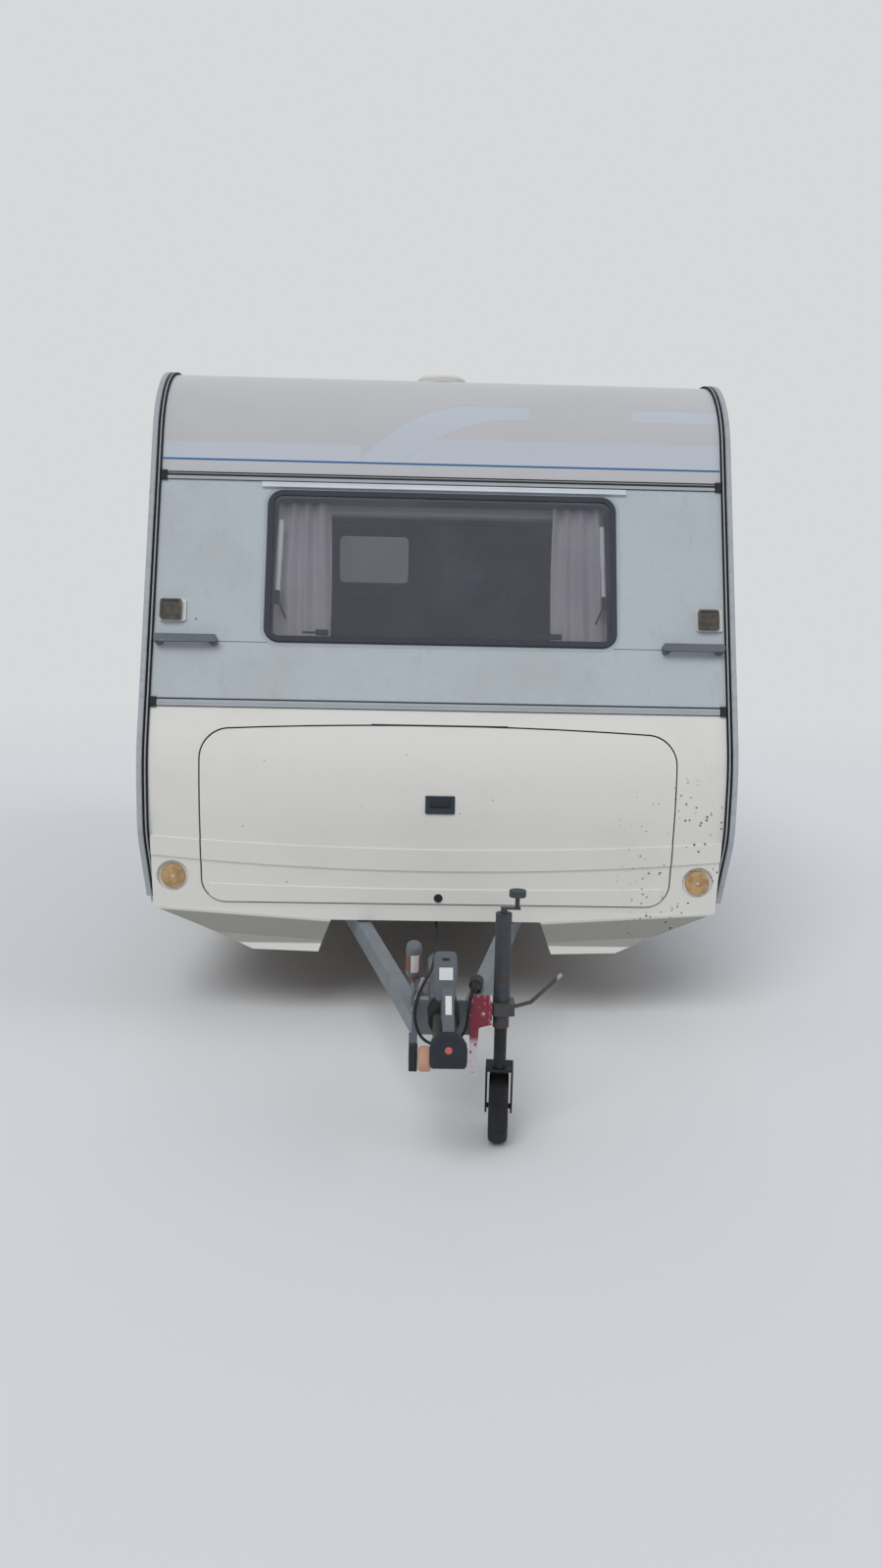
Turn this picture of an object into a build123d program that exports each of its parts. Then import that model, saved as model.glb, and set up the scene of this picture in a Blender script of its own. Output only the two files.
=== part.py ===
from build123d import *
import math
import os

# Touring caravan on one axle, parked on its jockey wheel. Millimetres, Z up.
# The drawbar points to -Y, the entrance door is in the wall at -X.
# The origin is on the ground, under the middle of the whole outline.

# Overall sizes
overall_length = 6000.0
overall_width = 2300.0
roof_z = 2600.0
shell = 32.0
floor_low_z = 462.0
floor_thickness = 42.0
wall_low_z = 470.0
nose_to_bulge = 1345.0
nose_to_ball = 61.0
handle_stand = 28.0
handle_thickness = 14.0

nose_y = -overall_length / 2
rear_y = overall_length / 2
bulge_y = nose_y + nose_to_bulge
ball_y = nose_y + nose_to_ball
rear_wall_y = rear_y - handle_stand - handle_thickness
floor_z = floor_low_z + floor_thickness

# Corner rails and side walls
rail_stand = 12.0
rail_proud = 10.0
rail_side_lap = 26.0
rail_front_width = 42.0
rail_low_z = 502.0
rail_x = overall_width / 2
wall_x = rail_x - rail_stand
inner_x = wall_x - shell

# Outline of the body seen from the side
front_rake = math.radians(17.8)
knee_z = 1077.0
knee_radius = 600.0
chin_z = 790.0
chin_radius = 250.0
chin_run = 165.0
roof_front_radius = 400.0
rear_lean = 150.0
rear_knee_z = 1150.0
rear_knee_radius = 500.0
roof_rear_radius = 300.0
rear_foot_z = 620.0
rear_foot_run = 60.0
rear_foot_radius = 100.0

# Heights where the front and rear panels meet
upper_joint_z = 2152.0
lower_joint_z = 1283.0
rear_joint_z = 1050.0
roof_joint_inset = 40.0

# Front moulding with its locker lid and skirt
mould_chin_z = 880.0
mould_chin_radius = 900.0
skirt_line_z = 484.0
skirt_line_depth = 50.0
skirt_low_z = 296.0
skirt_low_depth = 56.0
skirt_thickness = 18.0
skirt_edge_outer_x = 724.0
skirt_edge_rise = 8.0
skirt_set_back = 40.0
skirt_recess_z = 345.0
skirt_edge_inner_x = 465.0
skirt_arch_x = 413.0
skirt_arch_z = 438.0
cheek_thickness = 30.0
mould_thickness = 33.0
lid_half_width = rail_x - 238.0
lid_low_z = 510.0
lid_shoulder_z = 1182.0
lid_arch_rise = 27.0
lid_low_radius = 90.0
lid_top_radius = 110.0
lid_gap = 6.0
locker_depth = 440.0
board = 15.0

# Windows: name, wall, centre along Y, centre Z, width, height
window_frame_width = 26.0
window_frame_height = 12.0
window_frame_taper = 28.0
window_radius = 62.0
pane_thickness = 5.0
front_window_z = 1809.0
front_window_width = 1376.0
front_window_height = 622.0
side_windows = [
    ("left", bulge_y + 755, 1620.0, 760.0, 560.0),
    ("left", rear_wall_y - 1128, 1620.0, 900.0, 560.0),
    ("right", bulge_y + 815, 1620.0, 980.0, 560.0),
    ("right", rear_wall_y - 2318, 1700.0, 560.0, 400.0),
    ("right", rear_wall_y - 1058, 1620.0, 900.0, 560.0),
]
rear_window_x = -395.0
rear_window_z = 1955.0
rear_window_width = 562.0
rear_window_height = 392.0

# Entrance door
door_front_y = bulge_y + 1355.0
door_width = 600.0
door_low_z = 540.0
door_high_z = 2300.0
door_radius = 60.0
door_gap = 5.0
hinge_stand = 6.0
hinge_radius = 4.5
hinge_pin_radius = 2.5
hinge_leaf = 2.0
hinge_reach = 30.0

# Wheels and axle
wheel_radius = 307.0
tyre_width = 185.0
tyre_outer_x = rail_x - 54.0
rim_radius = 178.0
door_to_axle = 550.0
axle_y = door_front_y + door_width + door_to_axle
arch_radius = 372.0
arch_wall = 12.0
arch_depth = 236.0
stub_radius = 20.0
running_gap = 0.05
seat_gap = 0.3
drum_radius = 128.0
drum_depth = 56.0
arm_reach = 150.0
axle_tube_across = 90.0

# Chassis
chassis_top_z = 430.0
member_height = 110.0
member_flange = 50.0
member_gauge = 5.0
bar_nose_x = 70.0
bar_nose_run = 1000.0
bar_nose_y = bulge_y - bar_nose_run
bar_tail_inset = 390.0
bar_tail_x = rail_x - bar_tail_inset
bar_tail_y = axle_y - 60.0
nose_height = 64.0
middle_height = 84.0
bearer_width = 60.0
front_bearer_run = 440.0
door_bearer_run = 1400.0
axle_bearer_run = 420.0
rear_bearer_run = 380.0
bearer_ys = (bulge_y + front_bearer_run, bulge_y + door_bearer_run, axle_y + axle_bearer_run,
             rear_wall_y - rear_bearer_run)

# Jockey wheel
jockey_x = 180.0
jockey_y = bulge_y - 986.0
jockey_tube_radius = 25.0
jockey_tube_top_z = 756.0
jockey_tube_low_z = 395.0
jockey_inner_radius = 19.5
jockey_inner_top_z = 560.0
jockey_wheel_radius = 115.0
jockey_wheel_width = 62.0
jockey_trail = 45.0
jockey_turn = 5.0

# Coupling and overrun unit
housing_half = 40.0
gaiter_length = 106.0
gaiter_radius = 48.0
head_half = 34.0
cap_z = 452.0
ball_radius = 25.0
ball_clearance = 0.2
ball_z = 427.0
shaft_z = 455.0


def box(x0, x1, y0, y1, z0, z1):
    return Pos((x0 + x1) / 2, (y0 + y1) / 2, (z0 + z1) / 2) * Box(x1 - x0, y1 - y0, z1 - z0)


def along_x(face, x0, x1):
    return extrude(Plane.YZ.offset(x0) * face, x1 - x0)


def along_y(face, y0, y1):
    return extrude(Plane.XZ.offset(-y1) * face, y1 - y0)


def along_z(face, z0, z1):
    return extrude(Plane.XY.offset(z0) * face, z1 - z0)


def rod_x(radius, x0, x1, y, z):
    return along_x(Pos(y, z) * Circle(radius), x0, x1)


def rod_y(radius, y0, y1, x, z):
    return along_y(Pos(x, z) * Circle(radius), y0, y1)


def rod_z(radius, z0, z1, x, y):
    return along_z(Pos(x, y) * Circle(radius), z0, z1)


def both_sides(solid):
    return [solid, mirror(solid, Plane.YZ)]


def rounded(corners):
    """A flat face from corners of (u, v, radius)."""
    face = make_face(Polyline(*[(u, v) for u, v, radius in corners], close=True))
    for u, v, radius in corners:
        if radius:
            vertex = face.vertices().sort_by_distance((u, v))[0]
            face = fillet(vertex, radius)
    return face


def save(node, *solids):
    flat = []
    for solid in solids:
        flat += solid if isinstance(solid, list) else [solid]
    pieces = [piece for shape in flat for piece in shape.solids()]
    export_step(pieces[0] if len(pieces) == 1 else Compound(children=pieces), f"parts/{node}.step")


def front_face_y(z):
    return bulge_y + (z - knee_z) * math.tan(front_rake)


# Body outline and the ring of panels that runs round it
roof_front_y = front_face_y(roof_z)
roof_back_y = rear_wall_y - rear_lean
outline = rounded([
    (bulge_y + chin_run, wall_low_z, 0),
    (bulge_y, chin_z, chin_radius),
    (bulge_y, knee_z, knee_radius),
    (roof_front_y, roof_z, roof_front_radius),
    (roof_back_y, roof_z, roof_rear_radius),
    (rear_wall_y, rear_knee_z, rear_knee_radius),
    (rear_wall_y, rear_foot_z, rear_foot_radius),
    (rear_wall_y - rear_foot_run, wall_low_z, 0),
])
ring = outline - offset(outline, -shell)
band = along_x(ring, -inner_x, inner_x)


def band_part(y0, y1, z0, z1):
    return band & box(-rail_x, rail_x, y0, y1, z0, z1)


front_turn = (math.pi / 2 - front_rake) / 2
rear_turn = (math.pi / 2 - math.atan(rear_lean / (roof_z - rear_knee_z))) / 2
roof_start_y = roof_front_y + roof_front_radius * math.tan(front_turn) + roof_joint_inset
roof_end_y = roof_back_y - roof_rear_radius * math.tan(rear_turn) - roof_joint_inset
front_cap = band_part(nose_y, roof_start_y, upper_joint_z, roof_z + shell)
front_wall = band_part(nose_y, 0, lower_joint_z, upper_joint_z)
roof = band_part(roof_start_y, roof_end_y, roof_z - 2 * shell, roof_z + shell)
rear_wall = band_part(roof_end_y, rear_y, rear_joint_z, roof_z + shell)
rear_lower_y = rear_wall_y - 210.0
rear_lower = band_part(rear_lower_y, rear_y, 0, rear_joint_z)

# Side walls, with the wheel arches
wall_left = along_x(outline, -wall_x, -inner_x) - rod_x(arch_radius, -rail_x, 0, axle_y, wheel_radius)
wall_right = along_x(outline, inner_x, wall_x) - rod_x(arch_radius, 0, rail_x, axle_y, wheel_radius)


def window_parts(plane, width, height):
    """The hole in the wall, the frame round it and its pane, on the wall's outer face."""
    hole_width = width - 2 * window_frame_width + 10
    hole_height = height - 2 * window_frame_width + 10
    hole_radius = window_radius - window_frame_width + 5
    outer = plane * RectangleRounded(width, height, window_radius)
    sight = plane * RectangleRounded(width - 2 * window_frame_width, height - 2 * window_frame_width,
                                     window_radius - window_frame_width)
    hole = extrude(plane * RectangleRounded(hole_width, hole_height, hole_radius), 2 * shell, both=True)
    frame = extrude(outer, window_frame_height, taper=window_frame_taper)
    frame -= extrude(sight, window_frame_height)
    pane = extrude(plane.offset(2) * RectangleRounded(width - 2 * window_frame_width,
                   height - 2 * window_frame_width, window_radius - window_frame_width), pane_thickness)
    return hole, frame, pane


front_plane = Plane(origin=(0, front_face_y(front_window_z), front_window_z), x_dir=(1, 0, 0),
                    z_dir=(0, -math.cos(front_rake), math.sin(front_rake)))
front_hole, front_frame, front_pane = window_parts(front_plane, front_window_width, front_window_height)
front_wall -= front_hole

side_frames = []
side_panes = []
for side, centre_y, centre_z, width, height in side_windows:
    if side == "left":
        plane = Plane(origin=(-wall_x, centre_y, centre_z), x_dir=(0, -1, 0), z_dir=(-1, 0, 0))
    else:
        plane = Plane(origin=(wall_x, centre_y, centre_z), x_dir=(0, 1, 0), z_dir=(1, 0, 0))
    hole, frame, pane = window_parts(plane, width, height)
    if side == "left":
        wall_left -= hole
    else:
        wall_right -= hole
    side_frames.append(frame)
    side_panes.append(pane)

rear_slope = math.atan(rear_lean / (roof_z - rear_knee_z))
rear_window_y = rear_wall_y - (rear_window_z - rear_knee_z) * math.tan(rear_slope)
rear_plane = Plane(origin=(rear_window_x, rear_window_y, rear_window_z), x_dir=(-1, 0, 0),
                   z_dir=(0, math.cos(rear_slope), math.sin(rear_slope)))
rear_hole, rear_frame, rear_pane = window_parts(rear_plane, rear_window_width, rear_window_height)
rear_wall -= rear_hole

# Entrance door in the left wall, hung on its front edge
door_centre_y = door_front_y + door_width / 2
door_centre_z = (door_low_z + door_high_z) / 2
door_height = door_high_z - door_low_z
door_plane = Plane(origin=(-wall_x, door_centre_y, door_centre_z), x_dir=(0, -1, 0), z_dir=(-1, 0, 0))
door = extrude(door_plane * RectangleRounded(door_width, door_height, door_radius), -shell)
doorway = extrude(door_plane * RectangleRounded(door_width + 2 * door_gap, door_height + 2 * door_gap,
                                                door_radius + door_gap), 2 * shell, both=True)
wall_left -= doorway
door_window_plane = Plane(origin=(-wall_x, door_centre_y, 1830.0), x_dir=(0, -1, 0), z_dir=(-1, 0, 0))
door_hole, door_frame, door_pane = window_parts(door_window_plane, 420.0, 480.0)
door -= door_hole

# Roof light and vent
skylight_y = bulge_y + 1955.0
skylight_size = 400.0
roof -= box(-skylight_size / 2, skylight_size / 2, skylight_y - skylight_size / 2,
            skylight_y + skylight_size / 2, roof_z - 100, roof_z + 100)
skylight_frame = box(-skylight_size / 2 - 40, skylight_size / 2 + 40, skylight_y - skylight_size / 2 - 40,
                     skylight_y + skylight_size / 2 + 40, roof_z, roof_z + 25)
skylight_frame -= box(-skylight_size / 2, skylight_size / 2, skylight_y - skylight_size / 2,
                      skylight_y + skylight_size / 2, roof_z - 100, roof_z + 100)
skylight_lid = box(-skylight_size / 2 - 30, skylight_size / 2 + 30, skylight_y - skylight_size / 2 - 30,
                   skylight_y + skylight_size / 2 + 30, roof_z + 25 + seat_gap, roof_z + 55)
skylight_lid = fillet(skylight_lid.edges().filter_by(Axis.Z), 40)
skylight_lid = chamfer(skylight_lid.faces().sort_by(Axis.Z)[-1].edges(), 18)
skylight_pin_radius = 4.0
skylight_hinge_y = skylight_y - skylight_size / 2 - 30 - skylight_pin_radius - seat_gap
skylight_hinge_z = roof_z + 25 + skylight_pin_radius
skylight_frame += rod_x(skylight_pin_radius, -150, 150, skylight_hinge_y, skylight_hinge_z)
vent_y = bulge_y + 970.0
vent_cap = rod_z(105, roof_z + 22, roof_z + 50, 0, vent_y)
vent_cap = chamfer(vent_cap.edges().group_by(Axis.Z)[-1], 10)
vent = rod_z(70, roof_z, roof_z + 22, 0, vent_y) + vent_cap

# Corner rails round the whole outline, open at the bottom
rail_outer = offset(outline, rail_proud)
rail_flange = along_x(rail_outer - outline, rail_x - rail_front_width, rail_x)
rail_lap = along_x(rail_outer - offset(outline, -rail_side_lap), wall_x, rail_x)
rail_right = (rail_flange + rail_lap) & box(0, rail_x, nose_y, rear_y, rail_low_z, roof_z + 100)
groove_depth = 2.5
groove_width = 8.0
groove_ring = rail_outer - offset(outline, rail_proud - groove_depth)
for groove_x in (rail_x - 41.0, rail_x - 26.0):
    rail_right -= along_x(groove_ring, groove_x, groove_x + groove_width)
rail_left = mirror(rail_right, Plane.YZ)

# Front moulding
mould_face = rounded([
    (front_face_y(lower_joint_z), lower_joint_z, 0),
    (bulge_y, knee_z, knee_radius),
    (bulge_y, mould_chin_z, mould_chin_radius),
    (bulge_y + skirt_line_depth, skirt_line_z, 0),
    (bulge_y + skirt_low_depth, skirt_low_z - 10, 0),
    (bulge_y + 300, skirt_low_z - 10, 0),
    (bulge_y + 300, lower_joint_z, 0),
])
mould_skin = mould_face - Pos(mould_thickness, 0) * mould_face
moulding_band = along_x(mould_skin, -inner_x, inner_x)


def raised_band(half, top_middle, top_end, low_middle, low_end, rise, slope):
    """A flat swelling of the moulding between two lines that climb to the sides."""
    edges = ThreePointArc((-half, top_end), (0, top_middle), (half, top_end))
    edges += Line((half, top_end), (half, low_end))
    edges += ThreePointArc((half, low_end), (0, low_middle), (-half, low_end))
    edges += Line((-half, low_end), (-half, top_end))
    skin = along_x(Pos(-rise, 0) * mould_face - Pos(mould_thickness / 2, 0) * mould_face, -half, half)
    band_solid = skin & along_y(make_face(edges), bulge_y - 100, bulge_y + 200)
    wide_edges = [edge for edge in band_solid.edges() if edge.bounding_box().size.X > half]
    upper_edges = [edge for edge in wide_edges if edge.center().Z > (top_middle + low_middle) / 2]
    front = sorted(upper_edges, key=lambda edge: edge.center().Y)[:1]
    return chamfer(front, rise - 0.5, slope)


crease_rise = 6.0
crease_slope = 12.0
crease_band = raised_band(inner_x, 737.0, 779.0, 645.0, 698.0, crease_rise, crease_slope)
moulding_band += crease_band
cheek_face = (mould_face - outline) & Pos(bulge_y + 80, 690) * Rectangle(240, 2 * (690 - skirt_line_z))
cheek = along_x(cheek_face, inner_x - cheek_thickness, inner_x)
front_lower = moulding_band + both_sides(cheek)
front_lower += box(-inner_x + 1, inner_x - 1, bulge_y + skirt_line_depth + 20, bulge_y + chin_run,
                   skirt_line_z, floor_z)
skirt_rise_z = skirt_low_z + skirt_edge_rise
skirt_side = [(skirt_arch_x, skirt_arch_z), (skirt_edge_inner_x, skirt_low_z),
              (skirt_edge_outer_x, skirt_rise_z), (inner_x, skirt_line_z), (inner_x + 200, skirt_line_z),
              (inner_x + 200, skirt_low_z - 90)]
skirt_cut = Polyline(*[(-x, z) for x, z in reversed(skirt_side)], *skirt_side, close=True)
front_lower -= along_y(make_face(skirt_cut), bulge_y - 100, bulge_y + 400)
front_lower -= box(-inner_x, inner_x, bulge_y + skirt_low_depth + skirt_thickness, bulge_y + 400,
                   0, skirt_line_z)

# Recessed face and set-back lip of the skirt, on each side of the drawbar
recess_y = bulge_y + skirt_line_depth
recess_face = make_face(Polyline(
    (inner_x, skirt_line_z), (skirt_arch_x, skirt_arch_z), (skirt_edge_inner_x, skirt_low_z),
    (skirt_edge_outer_x, skirt_low_z + skirt_edge_rise), close=True))
recess_corner = Vector(inner_x, recess_y, skirt_line_z)
recess_along = Vector(skirt_arch_x, recess_y, skirt_arch_z) - recess_corner
recess_down = Vector(skirt_edge_inner_x, recess_y + skirt_set_back, skirt_recess_z) - recess_corner
recess_normal = recess_down.cross(recess_along)
if recess_normal.Y < 0:
    recess_normal = recess_normal * -1
behind_recess = extrude(Plane(origin=recess_corner, z_dir=recess_normal) * Rectangle(4000, 4000), 600)
in_front = along_y(recess_face, recess_y - 30, recess_y + skirt_set_back) - behind_recess
skirt_wall = Pos(0, skirt_thickness, 0) * in_front - in_front
front_lower -= both_sides(along_y(recess_face, recess_y - 30, bulge_y + 400))
front_lower += both_sides(skirt_wall)

lid_sides = Polyline((-lid_half_width, lid_shoulder_z), (-lid_half_width, lid_low_z),
                     (lid_half_width, lid_low_z), (lid_half_width, lid_shoulder_z))
lid_arch = ThreePointArc((lid_half_width, lid_shoulder_z), (0, lid_shoulder_z + lid_arch_rise),
                         (-lid_half_width, lid_shoulder_z))
lid_face = make_face(lid_sides + lid_arch)
lid_face = fillet(lid_face.vertices().sort_by(Axis.Y)[:2], lid_low_radius)
lid_face = fillet(lid_face.vertices().sort_by(Axis.Y)[-2:], lid_top_radius)
locker_lid = moulding_band & along_y(lid_face, bulge_y - 100, bulge_y + 300)
lid_band = raised_band(lid_half_width - 26, 574.0, 588.0, lid_low_z - 40, lid_low_z - 20, crease_rise,
                       crease_slope)
locker_lid += lid_band & along_y(lid_face, bulge_y - 100, bulge_y + 300)
front_lower -= along_y(offset(lid_face, lid_gap), bulge_y - 100, bulge_y + 300)


def mould_y(z):
    """Where the outside of the moulding lies below its bulge."""
    return bulge_y + skirt_line_depth * (mould_chin_z - z) / (mould_chin_z - skirt_line_z)


# Sunken pull and lock of the lid
pull_x = 6.0
pull_z = 911.5
pull_width = 114.0
pull_height = 71.0
pull_depth = 16.0
pull_place = Plane(origin=(pull_x, bulge_y + pull_depth, pull_z), x_dir=(1, 0, 0), z_dir=(0, -1, 0))
locker_lid -= extrude(pull_place * RectangleRounded(pull_width, pull_height, 8), 2 * pull_depth)
pull_place = pull_place.offset(seat_gap)
lid_pull = extrude(pull_place * RectangleRounded(pull_width - 2 * seat_gap, pull_height - 2 * seat_gap, 7),
                   pull_depth + 2)
lid_pull -= extrude(pull_place.offset(4) * Pos(0, 3) * RectangleRounded(80, 28, 4), pull_depth)
lock_x = 7.0
lock_z = 534.0
lock_radius = 17.0
lock_y = mould_y(lock_z) - crease_rise
locker_lid -= rod_y(lock_radius + seat_gap, lock_y - 20, lock_y + 10, lock_x, lock_z)
lid_lock = rod_y(lock_radius, lock_y - 3, lock_y + 10 - seat_gap, lock_x, lock_z)
lid_lock -= rod_y(9, lock_y - 10, lock_y + 1, lock_x, lock_z)
lid_hinge_z = lid_shoulder_z + lid_arch_rise + lid_gap / 2
lid_hinge_radius = lid_gap / 2 - seat_gap
lid_hinge_y = front_face_y(lid_hinge_z) + lid_hinge_radius
front_lower += rod_x(lid_hinge_radius, -260, 260, lid_hinge_y, lid_hinge_z)

# Locker bulkhead with its top shelf
shelf_z = 1250.0
bulkhead_y = bulge_y + locker_depth
bulkhead = box(-inner_x, inner_x, bulkhead_y, bulkhead_y + board, floor_z, shelf_z)
shelf_front_y = front_face_y(shelf_z + board) + mould_thickness + seat_gap
shelf = box(-inner_x, inner_x, shelf_front_y, bulkhead_y + board, shelf_z, shelf_z + board)
locker_box = bulkhead + shelf

# Floor with the wheel openings
floor = box(-inner_x, inner_x, bulge_y + chin_run, rear_lower_y, floor_low_z, floor_z)
box_inner_x = inner_x - arch_depth
for sign in (-1, 1):
    floor -= rod_x(arch_radius + arch_wall + seat_gap, min(sign * box_inner_x, sign * rail_x),
                   max(sign * box_inner_x, sign * rail_x), axle_y, wheel_radius)
wheel_box = rod_x(arch_radius + arch_wall, box_inner_x, inner_x, axle_y, wheel_radius)
wheel_box -= rod_x(arch_radius, box_inner_x + arch_wall, inner_x, axle_y, wheel_radius)
wheel_box &= box(0, inner_x, -rear_y, rear_y, floor_low_z, roof_z)
arch_trim = rod_x(arch_radius + 34, wall_x, wall_x + 8, axle_y, wheel_radius)
arch_trim -= rod_x(arch_radius, 0, rail_x, axle_y, wheel_radius)
arch_trim &= box(0, rail_x, -rear_y, rear_y, wall_low_z, roof_z)


def channel(width, height, gauge, length):
    """A C-section along local Z, open towards +X."""
    section = Rectangle(width, height) - Pos(gauge, 0) * Rectangle(width, height - 2 * gauge)
    return extrude(section, length)


# Drawbar bars and rear chassis rails
bar_length = math.dist((bar_nose_x, bar_nose_y), (bar_tail_x, bar_tail_y))
bar_angle = math.degrees(math.atan2(bar_tail_x - bar_nose_x, bar_tail_y - bar_nose_y))
member_z = chassis_top_z - member_height / 2
lie_back = Location(Plane(origin=(0, 0, 0), x_dir=(-1, 0, 0), z_dir=(0, 1, 0)))
bar_slope = (bar_tail_x - bar_nose_x) / (bar_tail_y - bar_nose_y)
bar_start = Pos(bar_nose_x - 10 * bar_slope, bar_nose_y - 10, member_z) * Rot(0, 0, -bar_angle)
drawbar_right = bar_start * lie_back * channel(member_flange, member_height, member_gauge, bar_length + 10)
drawbar_right -= box(0, 300, nose_y, bar_nose_y, 0, roof_z)
nose_taper = Polyline(
    (nose_y, 0), (nose_y, chassis_top_z - nose_height), (bulge_y - 700, chassis_top_z - nose_height),
    (bulge_y + 250, chassis_top_z - middle_height), (bulge_y + 900, chassis_top_z - member_height - 1),
    (bulge_y + 900, 0), close=True)
drawbar_right -= along_x(make_face(nose_taper), -500, 500)
drawbar_left = mirror(drawbar_right, Plane.YZ)
rear_rail = Pos(bar_tail_x, bar_tail_y + 12, member_z) * lie_back * channel(
    member_flange, member_height, member_gauge, rear_wall_y - 180 - bar_tail_y - 12)


def bar_inner_x(y):
    """Half the clear width between the chassis members at y."""
    if y > bar_tail_y:
        return bar_tail_x - member_flange / 2
    return bar_nose_x + bar_slope * (y - bar_nose_y) - member_flange / 2 * math.hypot(1, bar_slope)


cross_members = []
for cross_y in (bulge_y + 420, axle_y + 280, rear_wall_y - 240):
    reach = bar_inner_x(cross_y - 20) - seat_gap
    cross_members.append(box(-reach, reach, cross_y - 20, cross_y + 20, chassis_top_z - 60, chassis_top_z))
bearers = [box(-inner_x + 60, inner_x - 60, y - bearer_width / 2, y + bearer_width / 2, chassis_top_z,
               floor_low_z) for y in bearer_ys]

# Axle, swinging arms and stub axles
axle_tube_y = axle_y - arm_reach
axle_tube_z = chassis_top_z - member_height - axle_tube_across / 2
axle_half = tyre_outer_x - 284.0
axle_tube = along_x(Pos(axle_tube_y, axle_tube_z) * RegularPolygon(axle_tube_across / 2, 6,
                    major_radius=False), -axle_half, axle_half)
arm_inner_x = axle_half
arm_outer_x = axle_half + 34.0
plate_x = arm_outer_x
drum_inner_x = plate_x + 14.0
arm_face = make_hull((Pos(axle_tube_y, axle_tube_z) * Circle(58)).edges()
                     + (Pos(axle_y, wheel_radius) * Circle(40)).edges())
arm = along_x(arm_face, arm_inner_x, arm_outer_x)
arm += rod_x(drum_radius + 4, plate_x, plate_x + 8, axle_y, wheel_radius)
arm += rod_x(stub_radius, plate_x, drum_inner_x + 86, axle_y, wheel_radius)

# Road wheel: tyre, rim and brake drum, on the right side
tyre_inner_x = tyre_outer_x - tyre_width
tyre_shoulder = 24.0
tyre_half_width = tyre_width / 2
tyre_bore = rim_radius + seat_gap
tyre_face = Pos(tyre_outer_x - tyre_half_width, (tyre_bore + wheel_radius) / 2) * Rectangle(
    tyre_width, wheel_radius - tyre_bore)
tyre_face = chamfer(tyre_face.vertices().group_by(Axis.Y)[-1], tyre_shoulder)
wheel_axis = Axis((0, axle_y, wheel_radius), (1, 0, 0))


def spun(face):
    """A wheel section of (x, radius), turned about the axle."""
    placed = Pos(0, axle_y, wheel_radius) * (Plane.XZ * face)
    return revolve(placed, wheel_axis, 360)


tyre = spun(tyre_face)
rim_wall = 5.0
disc_x = tyre_outer_x - 62.0
rim_face = make_face(Polyline(
    (tyre_inner_x + 8, rim_radius), (tyre_outer_x - 8, rim_radius),
    (tyre_outer_x - 8, rim_radius - rim_wall), (disc_x + 24, rim_radius - rim_wall - 4),
    (disc_x + 24, 120), (disc_x, 90), (disc_x, 24), (disc_x - 6, 24), (disc_x - 6, 92),
    (disc_x + 14, 122), (disc_x + 14, rim_radius - rim_wall - 4), (tyre_inner_x + 8, rim_radius - rim_wall),
    close=True))
rim = spun(rim_face)
for step in range(8):
    angle = math.radians(step * 45)
    rim -= rod_x(17, disc_x - 20, disc_x + 40, axle_y + 143 * math.cos(angle),
                 wheel_radius + 143 * math.sin(angle))
drum_outer_x = disc_x - 6 - seat_gap
drum = spun(make_face(Polyline(
    (drum_inner_x, stub_radius + running_gap), (drum_inner_x, drum_radius),
    (drum_inner_x + drum_depth, drum_radius), (drum_inner_x + drum_depth, 70), (drum_outer_x, 66),
    (drum_outer_x, stub_radius + running_gap), close=True)))

# Overrun unit, gaiter and coupling head on the drawbar's nose
housing = box(-housing_half, housing_half, bar_nose_y + 12, bar_nose_y + 420, shaft_z - 50, shaft_z + 46)
housing = chamfer(housing.edges().filter_by(Axis.Y).group_by(Axis.Z)[-1], 16)
nose_plate = box(-96, 96, bar_nose_y - 12, bar_nose_y - seat_gap, shaft_z - 80, shaft_z + 28)
nose_plate += box(-40, 40, bar_nose_y - 12, bar_nose_y + 12, shaft_z - 50, shaft_z + 40)
nose_plate += box(-104, -78, bar_nose_y - 12, bar_nose_y - seat_gap, 282, shaft_z - 79)
gaiter_back_y = bar_nose_y - 12 - seat_gap
gaiter_front_y = gaiter_back_y - gaiter_length
gaiter = rod_y(36, gaiter_front_y, gaiter_back_y, 0, shaft_z)
fold_pitch = gaiter_length / 6
for step in range(6):
    fold_y = gaiter_front_y + step * fold_pitch
    gaiter += rod_y(gaiter_radius, fold_y + 2, fold_y + fold_pitch - 7, 0, shaft_z)
head_back_y = gaiter_front_y - seat_gap
head_front_y = ball_y - head_half - 9
head = box(-head_half, head_half, head_front_y, head_back_y, ball_z - 12, shaft_z + 30)
head = fillet(head.edges().filter_by(Axis.Y).group_by(Axis.Z)[-1], 16)
head += rod_z(head_half + 8, ball_z - 22, ball_z + 34, 0, ball_y)
head -= rod_z(ball_radius + ball_clearance, 0, ball_z, 0, ball_y)
head -= Pos(0, ball_y, ball_z) * Sphere(ball_radius + ball_clearance)
cap_face = Pos(6, cap_z) * (Circle(53) + Pos(0, -30) * RectangleRounded(104, 46, 12))
soft_cap = along_y(cap_face, nose_y + 6, head_front_y - seat_gap)
soft_cap += along_y(offset(cap_face, -7), nose_y, nose_y + 6)
handle_low_z = shaft_z + 30 + seat_gap
handle_side = rounded([
    (ball_y + 86, 546, 0), (ball_y + 124, 538, 0), (ball_y + 176, 640, 20),
    (ball_y + 170, 674, 12), (ball_y + 140, 670, 14), (ball_y + 100, 575, 30)])
handle_front = rounded([
    (-26, 530, 0), (26, 530, 0), (34, 610, 0), (34, 676, 22), (-34, 676, 22), (-34, 610, 0)])
neck_side = make_face(Polyline((ball_y + 80, handle_low_z), (ball_y + 112, handle_low_z), (ball_y + 124, 556),
                               (ball_y + 92, 556), close=True))
head_handle = along_x(handle_side, -40, 40) & along_y(handle_front, ball_y, ball_y + 240)
head_handle += along_x(neck_side, -12, 12)
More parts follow.
